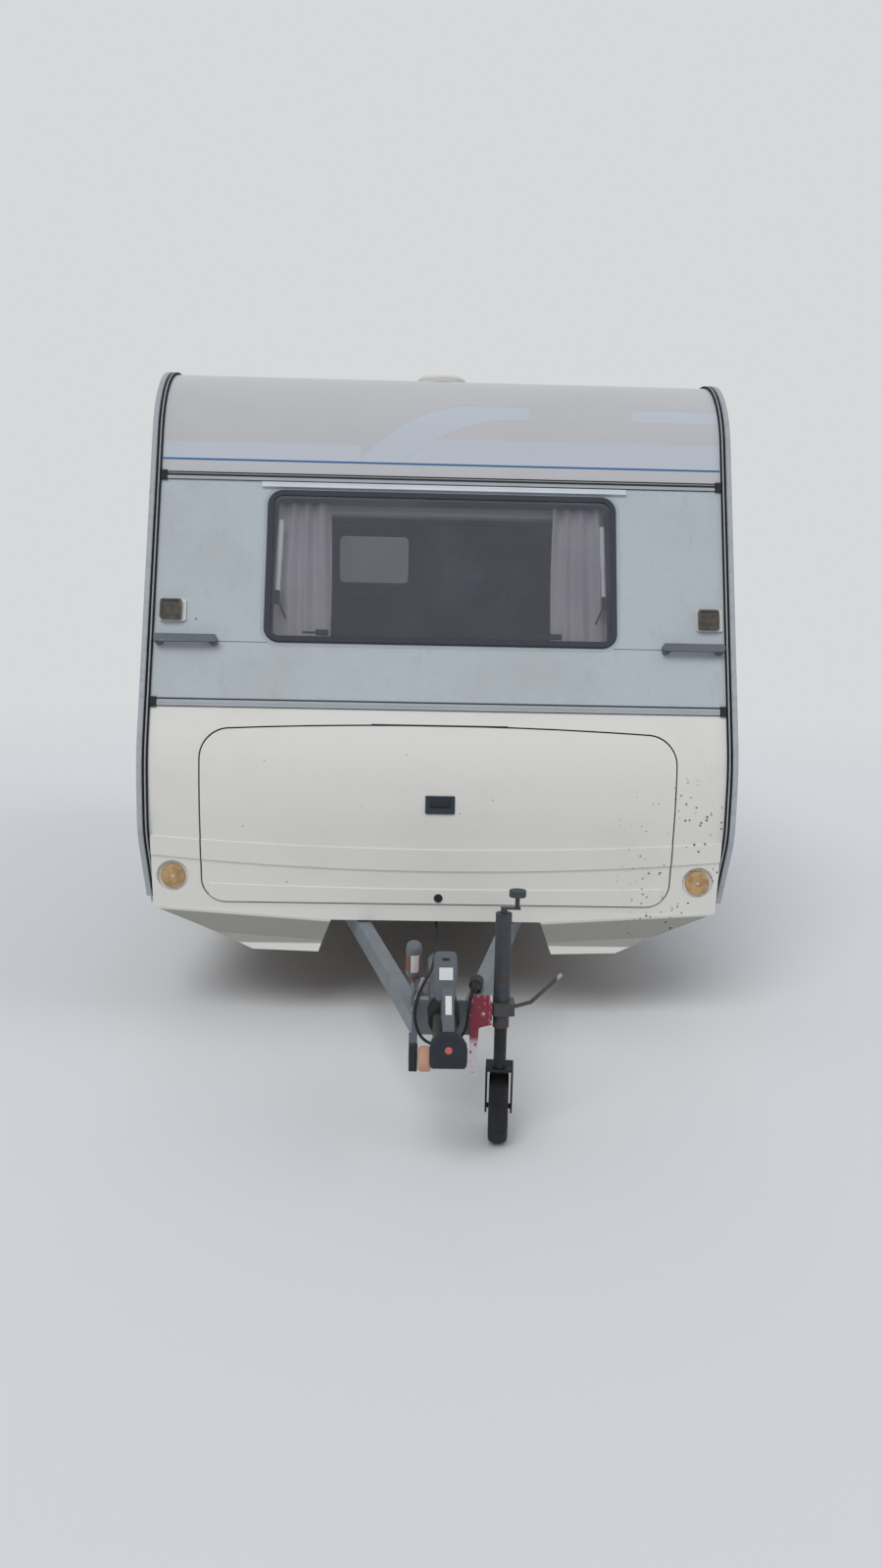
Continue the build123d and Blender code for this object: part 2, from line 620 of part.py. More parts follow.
lever_face = rounded([
    (ball_y + 70, handle_low_z, 0), (ball_y + 70, handle_low_z + 100, 6),
    (ball_y + 52, handle_low_z + 114, 10),
    (ball_y - 46, handle_low_z + 24, 8), (ball_y - 46, handle_low_z, 0)])
head_lever = along_x(lever_face, -10, 22)
pad_knob = rod_x(36, -head_half - 45, -head_half - 8 - seat_gap, ball_y - 6, ball_z - 18)

# Hand brake lever, its spring cylinder and grip over the left bar
brake_x = -92.0
brake_half = 6.0
brake_pivot_y = bar_nose_y + 140
brake_pivot_z = 478.0
brake_lean = 25.0
grip_start = 45.0
grip_length = 135.0
grip_radius = 24.5
brake_lever = box(brake_x - brake_half, brake_x + brake_half, brake_pivot_y - 30, brake_pivot_y + 30,
                  chassis_top_z + seat_gap, 500)
brake_place = Pos(brake_x, brake_pivot_y, brake_pivot_z) * Rot(brake_lean, 0, 0)
brake_lever += brake_place * Pos(0, 0, grip_start / 2) * Box(2 * brake_half, 26, grip_start)
brake_lever += rod_x(10, brake_x, -housing_half - seat_gap, brake_pivot_y, shaft_z)
grip_middle = grip_start + seat_gap + grip_length / 2
brake_grip = brake_place * Pos(0, 0, grip_middle) * Cylinder(grip_radius, grip_length)
strut_low = Vector(brake_x + 2, bulge_y - 985, chassis_top_z + 12)
strut_high = Vector(brake_x + 32, bulge_y - 800, 482)
strut_run = strut_high - strut_low
spring_cylinder = Plane(origin=strut_low, z_dir=strut_run) * Pos(0, 0, strut_run.length / 2) * Cylinder(
    9, strut_run.length)
spring_cylinder += rod_x(5, strut_high.X, -housing_half - seat_gap, bulge_y - 806, 480)

# Red bracket, clamp and jockey wheel beside the right bar
clamp_low_z = 438.0
clamp_high_z = 478.0
bracket_outer_x = 150.0
bracket_gauge = 10.0
bracket_y = bar_nose_y - 12 - seat_gap
bracket_face = rounded([
    (76, 412, 0), (82, 406, 0), (84, 256, 5), (104, 256, 5), (110, 402, 8), (bracket_outer_x, 412, 0),
    (bracket_outer_x, 504, 5), (76, 504, 8)])
bracket = along_y(bracket_face, bracket_y - bracket_gauge, bracket_y)
clamp = box(bracket_outer_x + seat_gap, jockey_x + 40, jockey_y - 34, jockey_y + 34,
            clamp_low_z, clamp_high_z)
clamp = fillet(clamp.edges().filter_by(Axis.Z), 10)
clamp -= rod_z(jockey_tube_radius + seat_gap, 0, 900, jockey_x, jockey_y)
lever_start = Vector(jockey_x + 36, jockey_y, 458)
lever_knee = Vector(jockey_x + 92, jockey_y + 10, 470)
lever_tip = Vector(jockey_x + 188, jockey_y + 36, 552)
clamp_lever = Pos(*lever_knee) * Sphere(6)
for low, high in ((lever_start, lever_knee), (lever_knee, lever_tip)):
    reach = high - low
    clamp_lever += Plane(origin=low, z_dir=reach) * Pos(0, 0, reach.length / 2) * Cylinder(6, reach.length)
jockey_outer = rod_z(jockey_tube_radius, jockey_tube_low_z, jockey_tube_top_z, jockey_x, jockey_y)
jockey_outer -= rod_z(jockey_inner_radius + running_gap, jockey_tube_low_z - 1, jockey_tube_top_z - 20,
                      jockey_x, jockey_y)
crank_z = jockey_tube_top_z + seat_gap
crank = rod_z(10, crank_z, crank_z + 12, jockey_x, jockey_y)
crank += box(jockey_x - 10, jockey_x + 50, jockey_y - 10, jockey_y + 10, crank_z + 12, crank_z + 17)
crank += rod_z(7, crank_z + 17, crank_z + 56, jockey_x + 40, jockey_y)
crank += rod_z(26, crank_z + 52, crank_z + 71, jockey_x + 40, jockey_y)
fork_top_z = 262.0
stem_radius = 10.0
jockey_inner = rod_z(jockey_inner_radius, fork_top_z + 1, jockey_inner_top_z, jockey_x, jockey_y)
jockey_inner += rod_z(stem_radius, fork_top_z - 16, fork_top_z + 1, jockey_x, jockey_y)
fork_half = jockey_wheel_width / 2 + 12
turn = Pos(jockey_x, jockey_y, 0) * Rot(0, 0, -jockey_turn)
fork = box(-fork_half, fork_half, -24, 60, fork_top_z - 8, fork_top_z)
fork -= rod_z(stem_radius + running_gap, 0, 900, 0, 0)
for sign in (-1, 1):
    leg_inner = sign * (fork_half - 6)
    leg_outer = sign * fork_half
    leg_face = Polyline((-24, fork_top_z), (60, fork_top_z), (jockey_trail + 18, jockey_wheel_radius - 16),
                        (jockey_trail - 18, jockey_wheel_radius - 16), close=True)
    fork += along_x(make_face(leg_face), min(leg_inner, leg_outer), max(leg_inner, leg_outer))
axle_bolt_radius = 8.0
fork += rod_x(axle_bolt_radius, -fork_half, fork_half, jockey_trail, jockey_wheel_radius)
fork = turn * fork
jockey_wheel = rod_x(jockey_wheel_radius, -jockey_wheel_width / 2, jockey_wheel_width / 2, jockey_trail,
                     jockey_wheel_radius)
jockey_wheel = chamfer(jockey_wheel.edges().filter_by(GeomType.CIRCLE), 4)
jockey_wheel -= rod_x(axle_bolt_radius + running_gap, -100, 100, jockey_trail, jockey_wheel_radius)
hub_recess = rod_x(74, jockey_wheel_width / 2 - 9, jockey_wheel_width / 2 + 1, jockey_trail,
                   jockey_wheel_radius)
jockey_wheel -= both_sides(hub_recess)
jockey_wheel = turn * jockey_wheel

# Corner steadies: a bracket under the floor and a leg folded up under it
steady_reach = 430.0
steady_x = rail_x - 270.0
steady_pin_radius = 7.0
steady_z = chassis_top_z - 22
steady_bracket = box(-32, 32, -34, 34, chassis_top_z - 4, floor_low_z)
for sign in (-1, 1):
    steady_bracket += box(min(sign * 26, sign * 32), max(sign * 26, sign * 32), -26, 26, steady_z - 22,
                          chassis_top_z - 4)
steady_bracket += rod_x(steady_pin_radius, -32, 32, 0, steady_z)
steady_leg = box(-20, 20, 14, steady_reach, steady_z - 14, steady_z + 14)
steady_leg -= box(-16, 16, 26, steady_reach + 1, steady_z - 15, steady_z + 10)
steady_leg += rod_x(16, -20, 20, 0, steady_z)
steady_leg += box(-20, 20, 0, 20, steady_z - 14, steady_z + 14)
steady_leg += box(-36, 36, steady_reach, steady_reach + 5, steady_z - 30, steady_z + 26)
steady_leg -= rod_x(steady_pin_radius + running_gap, -40, 40, 0, steady_z)
steady_front_y = bulge_y + 330
steady_rear_y = rear_wall_y - 260
steadies = {}
for name, x, y, spin in (
    ("front_left", -steady_x, steady_front_y, 0),
    ("front_right", steady_x, steady_front_y, 0),
    ("rear_left", -steady_x, steady_rear_y, 180),
    ("rear_right", steady_x, steady_rear_y, 180),
):
    place = Pos(x, y, 0) * Rot(0, 0, spin)
    steadies[name] = (place * steady_bracket, place * steady_leg)


def on_front(x, z):
    """A plane on the sloping front face, X across and Y up the slope."""
    return Plane(origin=(x, front_face_y(z), z), x_dir=(1, 0, 0), z_dir=front_plane.z_dir)


def on_side(sign, y, z):
    """A plane on a side wall's outer face: X along the wall and Y up."""
    return Plane(origin=(sign * wall_x, y, z), x_dir=(0, sign, 0), z_dir=(sign, 0, 0))


def on_rear(x, z):
    return Plane(origin=(x, rear_wall_y, z), x_dir=(-1, 0, 0), z_dir=(0, 1, 0))


# Trim bars over the joints of the front panels, drip rail and end blocks
trim_half = rail_x - rail_front_width - 25
trims = []
trim_ends = []
for z, height in ((upper_joint_z, 34.0), (lower_joint_z, 34.0)):
    trims.append(extrude(on_front(0, z) * Rectangle(2 * trim_half, height), 7))
    for sign in (-1, 1):
        end_place = on_front(sign * (trim_half + 12 + seat_gap), z)
        trim_ends.append(extrude(end_place * Rectangle(24, height + 6), 11))
drip_rail = extrude(on_front(0, 2122.0) * Rectangle(1436, 20), 12)

# Grab handles, lamps and small fittings
handle_length = 240.0


def grab_handle(plane):
    half = handle_length / 2
    handle = extrude(plane.offset(handle_stand) * RectangleRounded(handle_length, 30, 10), handle_thickness)
    for sign in (-1, 1):
        foot_place = plane * Pos(sign * (half - 16), -3)
        handle += extrude(foot_place * RectangleRounded(30, 36, 10), handle_stand + 2)
    return handle


handle_x = rail_x - 170.0
front_handles = [grab_handle(on_front(sign * handle_x, 1516.0)) for sign in (-1, 1)]
rear_handle_x = rail_x - 270.0
rear_handles = [grab_handle(on_rear(sign * rear_handle_x, 985.0)) for sign in (-1, 1)]
marker_lamp_x = rail_x - 107.0
lamp_bases = []
lamp_lenses = []
for sign in (-1, 1):
    place = on_front(sign * marker_lamp_x, 1628.0)
    lamp_bases.append(extrude(place * RectangleRounded(92, 88, 8), 10))
    lamp_lenses.append(extrude(place.offset(10 + seat_gap) * RectangleRounded(84, 82, 10), 24, taper=6))
round_x = rail_x - 124.0
round_z = 609.0
round_y = mould_y(round_z)
round_depth = 14.0
round_lamps = []
for sign in (-1, 1):
    lamp_place = Plane(origin=(sign * round_x, round_y - 20, round_z), x_dir=(1, 0, 0), z_dir=(0, 1, 0))
    front_lower -= extrude(lamp_place * Circle(70), 20 + round_depth, taper=22)
    round_lamps.append(rod_y(47, round_y - 2, round_y + round_depth - seat_gap, sign * round_x, round_z))
rear_lamp_depth = 30.0
rear_lamp_x = rail_x - 182.0
rear_lamp_z = 770.0
rear_lamp_face = RectangleRounded(240, 150, 18)
rear_lamps = [extrude(on_rear(sign * rear_lamp_x, rear_lamp_z) * rear_lamp_face, rear_lamp_depth, taper=8)
              for sign in (-1, 1)]
side_markers = [extrude(on_side(sign, y, 540.0) * RectangleRounded(100, 34, 8), 9, taper=10)
                for sign in (-1, 1) for y in (bulge_y + 405, axle_y - 450, rear_wall_y - 458)]
fridge_run = 1595.0
fridge_width = 480.0
fridge_y = bulge_y + fridge_run
# Centre Z, height
fridge_vent_rows = [(760.0, 240.0), (1240.0, 150.0)]
fridge_vents = [extrude(on_side(1, fridge_y, z) * RectangleRounded(fridge_width, height, 14), 9)
                for z, height in fridge_vent_rows]
water_filler = extrude(on_side(1, axle_y + 650, 860.0) * Circle(62), 10)
power_inlet = extrude(on_side(1, rear_wall_y - 658, 760.0) * RectangleRounded(150, 160, 14), 10)
awning_light = extrude(on_side(-1, door_centre_y, door_high_z + 90) * RectangleRounded(260, 56, 20), 10)

# Service hatch in the left wall, with the bay behind it
hatch_y = rear_wall_y - 338.0
hatch_z = 760.0
hatch_width = 340.0
hatch_height = 310.0
hatch_place = on_side(-1, hatch_y, hatch_z)
hatch = extrude(hatch_place * RectangleRounded(hatch_width, hatch_height, 24), -shell)
wall_left -= extrude(hatch_place * RectangleRounded(hatch_width + 2 * door_gap, hatch_height + 2 * door_gap,
                                                    24 + door_gap), 2 * shell, both=True)
bay_depth = 420.0
bay_outer = box(-inner_x, -inner_x + bay_depth, hatch_y - 210, hatch_y + 210, floor_z, hatch_z + 210)
bay = bay_outer - box(-inner_x - 1, -inner_x + bay_depth - board, hatch_y - 210 + board,
                      hatch_y + 210 - board, floor_z + board, hatch_z + 210 - board)

# Door fittings
door_handle_y = door_front_y + door_width - 60
door_handle = extrude(on_side(-1, door_handle_y, 1180.0) * RectangleRounded(64, 150, 14), 10)
hinge_x = -wall_x - hinge_stand


def side_hinge(y, z, length):
    """The fixed and the moving half of a hinge on the left wall, its pin upright at y."""
    third = length / 3
    face_x = -wall_x - seat_gap
    fixed = rod_z(hinge_pin_radius, z - length / 2, z + length / 2, hinge_x, y)
    leaf_edge = hinge_radius + 1
    fixed += box(face_x - hinge_leaf, face_x, y - hinge_reach, y - leaf_edge, z - length / 2, z + length / 2)
    for low in (z - length / 2, z + third / 2 + seat_gap):
        fixed += rod_z(hinge_radius, low, low + third - seat_gap, hinge_x, y)
        fixed += box(face_x - hinge_leaf, face_x, y - leaf_edge, y, low, low + third - seat_gap)
    low = z - third / 2
    turning = rod_z(hinge_radius, low, low + third, hinge_x, y)
    turning += box(face_x - hinge_leaf, face_x, y, y + leaf_edge, low, low + third)
    turning += box(face_x - hinge_leaf, face_x, y + leaf_edge, y + hinge_reach,
                   z - length / 2, z + length / 2)
    turning -= rod_z(hinge_pin_radius + running_gap, z - length, z + length, hinge_x, y)
    return fixed, turning


hinge_y = door_front_y - door_gap / 2
door_hinges = [side_hinge(hinge_y, z, 120.0) for z in (800.0, 1900.0)]
hatch_hinge_y = hatch_y - hatch_width / 2 - door_gap / 2
hatch_hinge = side_hinge(hatch_hinge_y, hatch_z, 90.0)

# Inside: benches, table, kitchen and wardrobe that show through the windows
bench_front_y = bulkhead_y + board + 2
bench_width = 560.0
bench_height = 380.0
bench_length = 760.0
bench_back_y = bench_front_y + bench_length
kitchen_height = 900.0
bench_top_z = floor_z + bench_height
benches = both_sides(box(inner_x - bench_width, inner_x, bench_front_y, bench_back_y, floor_z, bench_top_z))
cushions = both_sides(box(inner_x - bench_width, inner_x - 4, bench_front_y + 4, bench_back_y - 4,
                          bench_top_z + seat_gap, bench_top_z + 120))
table_z = floor_z + 700
table_y = bench_front_y + bench_length / 2 - 20
table = box(-380, 380, bench_front_y + 20, bench_back_y - 40, table_z - 28, table_z)
table += rod_z(32, floor_z, table_z - 28, 0, table_y)
table += rod_z(160, floor_z, floor_z + 14, 0, table_y)
kitchen = box(inner_x - bench_width, inner_x, bench_back_y + 40, axle_y - arch_radius - 30,
              floor_z, floor_z + kitchen_height)
wardrobe_depth = 520.0
wardrobe = box(-inner_x, -inner_x + wardrobe_depth, door_front_y + door_width + 40, axle_y + 90,
               floor_z, roof_z - 60)
wardrobe -= rod_x(arch_radius + arch_wall + seat_gap, -inner_x, -box_inner_x + seat_gap, axle_y, wheel_radius)
bed_front_y = axle_y + arch_radius + 30
bed_top_z = floor_z + 420
bed_box = box(-inner_x + 540, inner_x, bed_front_y, rear_lower_y - 40, floor_z, bed_top_z)
mattress = box(-inner_x + 546, inner_x - 4, bed_front_y + 6, rear_lower_y - 44, bed_top_z + seat_gap,
               bed_top_z + 120)

# Curtains hanging inside the front window, and the rail that carries them
curtain_gap = shell + 26
curtain_place = front_plane.offset(-curtain_gap)
cassette_low = 242.0
cassette_size = 40.0
curtain_low = -286.0
curtain_height = cassette_low - seat_gap - curtain_low
curtain_face = Rectangle(230, curtain_height)
curtain_middle = curtain_low + curtain_height / 2
curtains = [extrude(curtain_place * Pos(sign * 545, curtain_middle) * curtain_face, 10, both=True)
            for sign in (-1, 1)]
cassette_face = Pos(0, cassette_low + cassette_size / 2) * Rectangle(1300, cassette_size)
blind_cassette = extrude(front_plane.offset(-shell - cassette_size - seat_gap) * cassette_face, cassette_size)

# Towing lead, from its gland under the floor to the parked plug
lead_radius = 4.5
plug_radius = 23.0
lead_end_z = chassis_top_z + plug_radius + seat_gap
# X, Y from the bulge, Z
lead_table = [
    (0, 330, 440), (0, 262, 427), (3, 140, 418), (4, 12, 413), (0, -116, 413), (-3, -240, 421),
    (-6, -356, 441), (-11, -462, 478), (-15, -560, 505), (-21, -662, 514), (-29, -762, 510),
    (-42, -858, 514), (-61, -944, 513), (-82, -1018, 494), (-90, -1076, 446), (-68, -1106, 396),
    (-20, -1108, 376), (28, -1096, 379), (66, -1074, 404), (75, -1058, 452), (84, -1036, 508),
    (92, -970, 530), (99, -902, 489), (105, -854, lead_end_z), (110, -810, lead_end_z),
]
lead_points = [(x, bulge_y + y, z) for x, y, z in lead_table]


def cord_tube(points, radius):
    """Straight runs joined by tangent arcs as large as each pair of runs allows."""
    spots = [Vector(*point) for point in points]
    radii = []
    for before, corner, after in zip(spots, spots[1:], spots[2:]):
        turn_angle = math.radians((corner - before).get_angle(after - corner))
        shorter = min((corner - before).length, (after - corner).length)
        radii.append(0.45 * shorter / math.tan(turn_angle / 2))
    print("cord radii", [round(value) for value in radii])
    path = FilletPolyline(*spots, radius=radii)
    tube = sweep(Plane(origin=path @ 0, z_dir=path % 0) * Circle(radius), path)
    even_volume = math.pi * radius ** 2 * path.length
    print("cord length", round(path.length), "volume ratio", round(tube.volume / even_volume, 4))
    return tube, path


lead, lead_path = cord_tube(lead_points, lead_radius)
gland_place = Plane(origin=lead_path @ 0, z_dir=-(lead_path % 0))
gland = extrude(gland_place * Circle(11), 40)
gland += box(-16, 16, lead_points[0][1] + 18, lead_points[0][1] + 50, 438, floor_low_z)
plug_place = Plane(origin=lead_path @ 1, z_dir=(lead_path % 1))
plug = extrude(plug_place * Circle(11), 24) + extrude(plug_place.offset(22) * Circle(plug_radius), 62)


nodes = {
    "floor": floor,
    "side_wall_left": wall_left,
    "side_wall_right": wall_right,
    "roof": roof,
    "front_cap": front_cap,
    "front_wall": front_wall,
    "front_lower_panel": front_lower,
    "inner_boards": [locker_box, bay],
    "rear_wall": rear_wall,
    "rear_lower_panel": rear_lower,
    "corner_rails": [rail_left, rail_right],
    "front_trims": trims + trim_ends + [drip_rail],
    "window_frames": [front_frame, rear_frame] + side_frames,
    "window_panes": [front_pane, rear_pane] + side_panes,
    "gas_locker_lid": [locker_lid, lid_pull, lid_lock],
    "door": door,
    "door_fittings": [door_frame, door_handle] + [turning for fixed, turning in door_hinges],
    "door_window_pane": door_pane,
    "service_hatch": [hatch, hatch_hinge[1]],
    "roof_fittings": [skylight_frame, vent],
    "skylight_lid": skylight_lid,
    "grab_handles": front_handles + rear_handles,
    "marker_lamps": lamp_bases + lamp_lenses,
    "round_lamps": round_lamps,
    "rear_lamps": rear_lamps,
    "side_markers": side_markers,
    "side_fittings": fridge_vents + [water_filler, power_inlet, awning_light],
    "side_hinges": [fixed for fixed, turning in door_hinges] + [hatch_hinge[0]],
    "wheel_boxes": both_sides(wheel_box),
    "wheel_arch_trims": both_sides(arch_trim),
    "drawbar_left": drawbar_left,
    "drawbar_right": drawbar_right,
    "chassis_members": both_sides(rear_rail) + cross_members,
    "floor_bearers": bearers,
    "steady_brackets": [bracket_solid for bracket_solid, leg in steadies.values()],
    "axle": [axle_tube] + both_sides(arm),
    "overrun_unit": housing + nose_plate,
    "overrun_gaiter": gaiter,
    "coupling_head": head,
    "coupling_fittings": [head_handle, head_lever, soft_cap, pad_knob],
    "hand_brake": [brake_lever, spring_cylinder, brake_grip],
    "jockey_clamp": [bracket, clamp + clamp_lever],
    "jockey_outer_tube": [jockey_outer, crank],
    "jockey_inner_tube": jockey_inner,
    "jockey_fork": fork,
    "jockey_wheel": jockey_wheel,
    "furniture": benches + [table, kitchen, wardrobe, bed_box],
    "cushions": cushions + [mattress],
    "curtains": curtains + [blind_cassette],
    "towing_lead": lead,
    "lead_gland": gland,
    "lead_plug": plug,
}
for side, turned in (("right", False), ("left", True)):
    for name, solids in (("tyre", [tyre]), ("rim", [rim, drum])):
        nodes[f"{name}_{side}"] = [mirror(solid, Plane.YZ) if turned else solid for solid in solids]
for name, (bracket_solid, leg) in steadies.items():
    nodes[f"steady_leg_{name}"] = leg

os.makedirs("parts", exist_ok=True)
for node, solid in nodes.items():
    save(node, solid)
print(len(nodes), "nodes")
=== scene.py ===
import bpy
import bmesh
import math
from mathutils import Matrix, Vector


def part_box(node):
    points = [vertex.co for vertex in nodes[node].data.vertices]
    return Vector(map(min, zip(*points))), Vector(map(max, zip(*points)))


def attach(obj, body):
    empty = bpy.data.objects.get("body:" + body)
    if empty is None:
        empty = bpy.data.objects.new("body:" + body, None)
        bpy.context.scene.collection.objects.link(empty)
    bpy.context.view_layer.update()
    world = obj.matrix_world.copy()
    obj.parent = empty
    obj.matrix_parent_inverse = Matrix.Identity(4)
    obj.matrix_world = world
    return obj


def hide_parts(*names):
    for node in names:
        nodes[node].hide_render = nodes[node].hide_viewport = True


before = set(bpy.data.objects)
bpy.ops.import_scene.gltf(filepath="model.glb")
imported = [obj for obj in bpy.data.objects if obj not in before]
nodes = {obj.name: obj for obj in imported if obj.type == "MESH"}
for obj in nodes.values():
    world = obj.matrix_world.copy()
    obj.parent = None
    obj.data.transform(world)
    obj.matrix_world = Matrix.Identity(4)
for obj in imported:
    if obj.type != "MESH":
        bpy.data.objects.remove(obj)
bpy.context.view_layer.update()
scene = bpy.context.scene
scene.view_settings.view_transform = "Standard"


def middleOf(name):
    low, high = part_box(name)
    return (low + high) / 2


# Places that many pieces share, in metres
body = {
    "bulgeY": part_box("front_lower_panel")[0].y,
    "kneeZ": 1.077,
    "rake": math.radians(17.8),
    "railX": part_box("corner_rails")[1].x,
    "wallX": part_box("side_wall_right")[1].x,
    "rearY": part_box("rear_lower_panel")[1].y,
    "upperJointZ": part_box("front_wall")[1].z,
    "lowerJointZ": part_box("front_wall")[0].z,
    "stripeZ": 2.219,
    "stripeHalf": 0.004,
    "windowZ": 1.809,
}

# Middles of the locker lid's pull and lock, x and z, and how far each stands out or in
lid = {"pull": (0.006, 0.9115), "lock": (0.007, 0.534), "pullOut": 0.0022, "lockIn": 0.0378}

# Camera at the photograph's viewing angle
view = {"place": (-0.122, -6.160, 1.710), "lens": 27.36, "sensor": 36, "yaw": -1.65, "pitch": 9.03,
        "roll": 1.22, "near": 0.02, "far": 200}
eye = bpy.data.cameras.new("eye")
eye.lens = view["lens"]
eye.sensor_width = view["sensor"]
eye.sensor_fit = "AUTO"
eye.clip_start = view["near"]
eye.clip_end = view["far"]
eyeObject = bpy.data.objects.new("eye", eye)
scene.collection.objects.link(eyeObject)
eyeObject.matrix_world = (Matrix.Translation(view["place"])
                          @ Matrix.Rotation(math.radians(view["yaw"]), 4, "Z")
                          @ Matrix.Rotation(math.radians(90 - view["pitch"]), 4, "X")
                          @ Matrix.Rotation(math.radians(view["roll"]), 4, "Z"))
scene.camera = eyeObject
print("camera placed")


class Wire:  # a socket that takes part in Python sums through Math nodes
    def __init__(self, finish, socket):
        self.finish = finish
        self.socket = socket

    def sum(self, operation, first, second):
        return self.finish.add("ShaderNodeMath", {"operation": operation}, {0: first, 1: second})

    def __add__(self, other):
        return self.sum("ADD", self, other)

    def __radd__(self, other):
        return self.sum("ADD", other, self)

    def __sub__(self, other):
        return self.sum("SUBTRACT", self, other)

    def __rsub__(self, other):
        return self.sum("SUBTRACT", other, self)

    def __mul__(self, other):
        return self.sum("MULTIPLY", self, other)

    def __rmul__(self, other):
        return self.sum("MULTIPLY", other, self)

    def __pow__(self, other):
        return self.sum("POWER", self, other)

    def __lt__(self, other):
        return self.sum("LESS_THAN", self, other)

    def __gt__(self, other):
        return self.sum("GREATER_THAN", self, other)

    def __abs__(self):
        return self.sum("ABSOLUTE", self, 0.0)

    def __or__(self, other):
        return self.sum("MAXIMUM", self, other)


def tint(red, green, blue):  # screen values 0 to 255, as the linear colour that a shader takes
    def linear(value):
        share = value / 255
        return share / 12.92 if share <= 0.04045 else ((share + 0.055) / 1.055) ** 2.4
    return (linear(red), linear(green), linear(blue), 1.0)


# Short names of the shader's inputs
shaderInputs = {"color": "Base Color", "rough": "Roughness", "metal": "Metallic", "normal": "Normal",
                "alpha": "Alpha", "coat": "Coat Weight", "coatRough": "Coat Roughness",
                "sheen": "Sheen Weight", "gloss": "Specular IOR Level", "glow": "Emission Color",
                "glowStrength": "Emission Strength"}


class Finish:  # one material, and the only way its nodes are made
    def __init__(self, name):
        self.material = bpy.data.materials.new(name)
        self.material.use_nodes = True
        self.tree = self.material.node_tree
        self.shader = self.tree.nodes["Principled BSDF"]
        self.spot = self.add("ShaderNodeTexCoord", {}, {}, "Object")
        self.x = self.add("ShaderNodeSeparateXYZ", {}, {0: self.spot}, "X")
        self.y = self.add("ShaderNodeSeparateXYZ", {}, {0: self.spot}, "Y")
        self.z = self.add("ShaderNodeSeparateXYZ", {}, {0: self.spot}, "Z")

    def add(self, kind, settings, sockets, output=0):
        node = self.tree.nodes.new(kind)
        for key, value in settings.items():
            setattr(node, key, value)
        for key, value in sockets.items():
            if isinstance(value, Wire):
                self.tree.links.new(value.socket, node.inputs[key])
            else:
                node.inputs[key].default_value = value
        return Wire(self, node.outputs[output])

    def stretch(self, across, along, up):  # Object coordinates, scaled unevenly
        return self.add("ShaderNodeMapping", {}, {"Vector": self.spot, "Scale": (across, along, up)})

    def noise(self, scale, detail=3.0, rough=0.5, at=None):
        return self.add("ShaderNodeTexNoise", {}, {"Vector": at or self.spot, "Scale": scale,
                                                   "Detail": detail, "Roughness": rough})

    def cells(self, scale, output="Distance"):
        return self.add("ShaderNodeTexVoronoi", {}, {"Vector": self.spot, "Scale": scale}, output)

    def waves(self, way, scale, bend):  # ridges that follow one another along an axis
        return self.add("ShaderNodeTexWave", {"wave_type": "BANDS", "bands_direction": way},
                        {"Vector": self.spot, "Scale": scale, "Distortion": bend})

    def ease(self, value, low, high):  # 0 below low, 1 above high, smooth between
        return self.add("ShaderNodeMapRange", {"interpolation_type": "SMOOTHSTEP"},
                        {"Value": value, "From Min": low, "From Max": high})

    def band(self, value, low, high, soft=0.0005):
        return self.ease(value, low - soft, low + soft) * (1.0 - self.ease(value, high - soft, high + soft))

    def line(self, value, center, half):
        return self.band(value, center - half, center + half)

    def blend(self, share, first, second):
        return self.add("ShaderNodeMix", {"data_type": "RGBA"}, {0: share, 6: first, 7: second}, 2)

    def specks(self, scale, size, share):  # small scattered spots, share of the cells that hold one
        pick = self.add("ShaderNodeSeparateColor", {}, {0: self.cells(scale, "Color")}, "Red")
        return (pick > 1.0 - share) * (self.cells(scale) < size * pick)

    def bump(self, height, strength, distance, under=None):
        sockets = {"Height": height, "Strength": strength, "Distance": distance}
        if under:
            sockets["Normal"] = under
        return self.add("ShaderNodeBump", {}, sockets)

    def set(self, **values):
        for name, value in values.items():
            socket = self.shader.inputs[shaderInputs[name]]
            if isinstance(value, Wire):
                self.tree.links.new(value.socket, socket)
            else:
                socket.default_value = value
        return self.material


# Finishes of the body
def dirty(finish, color, dirtColor, amount):  # faint clouds of grime over a paint
    cloud = finish.ease(finish.noise(2.3, 6.0, 0.62), 0.45, 0.75) * amount
    return finish.blend(cloud, color, dirtColor)


def darker(color, share):
    return tuple(value * share for value in color[:3]) + (1.0,)


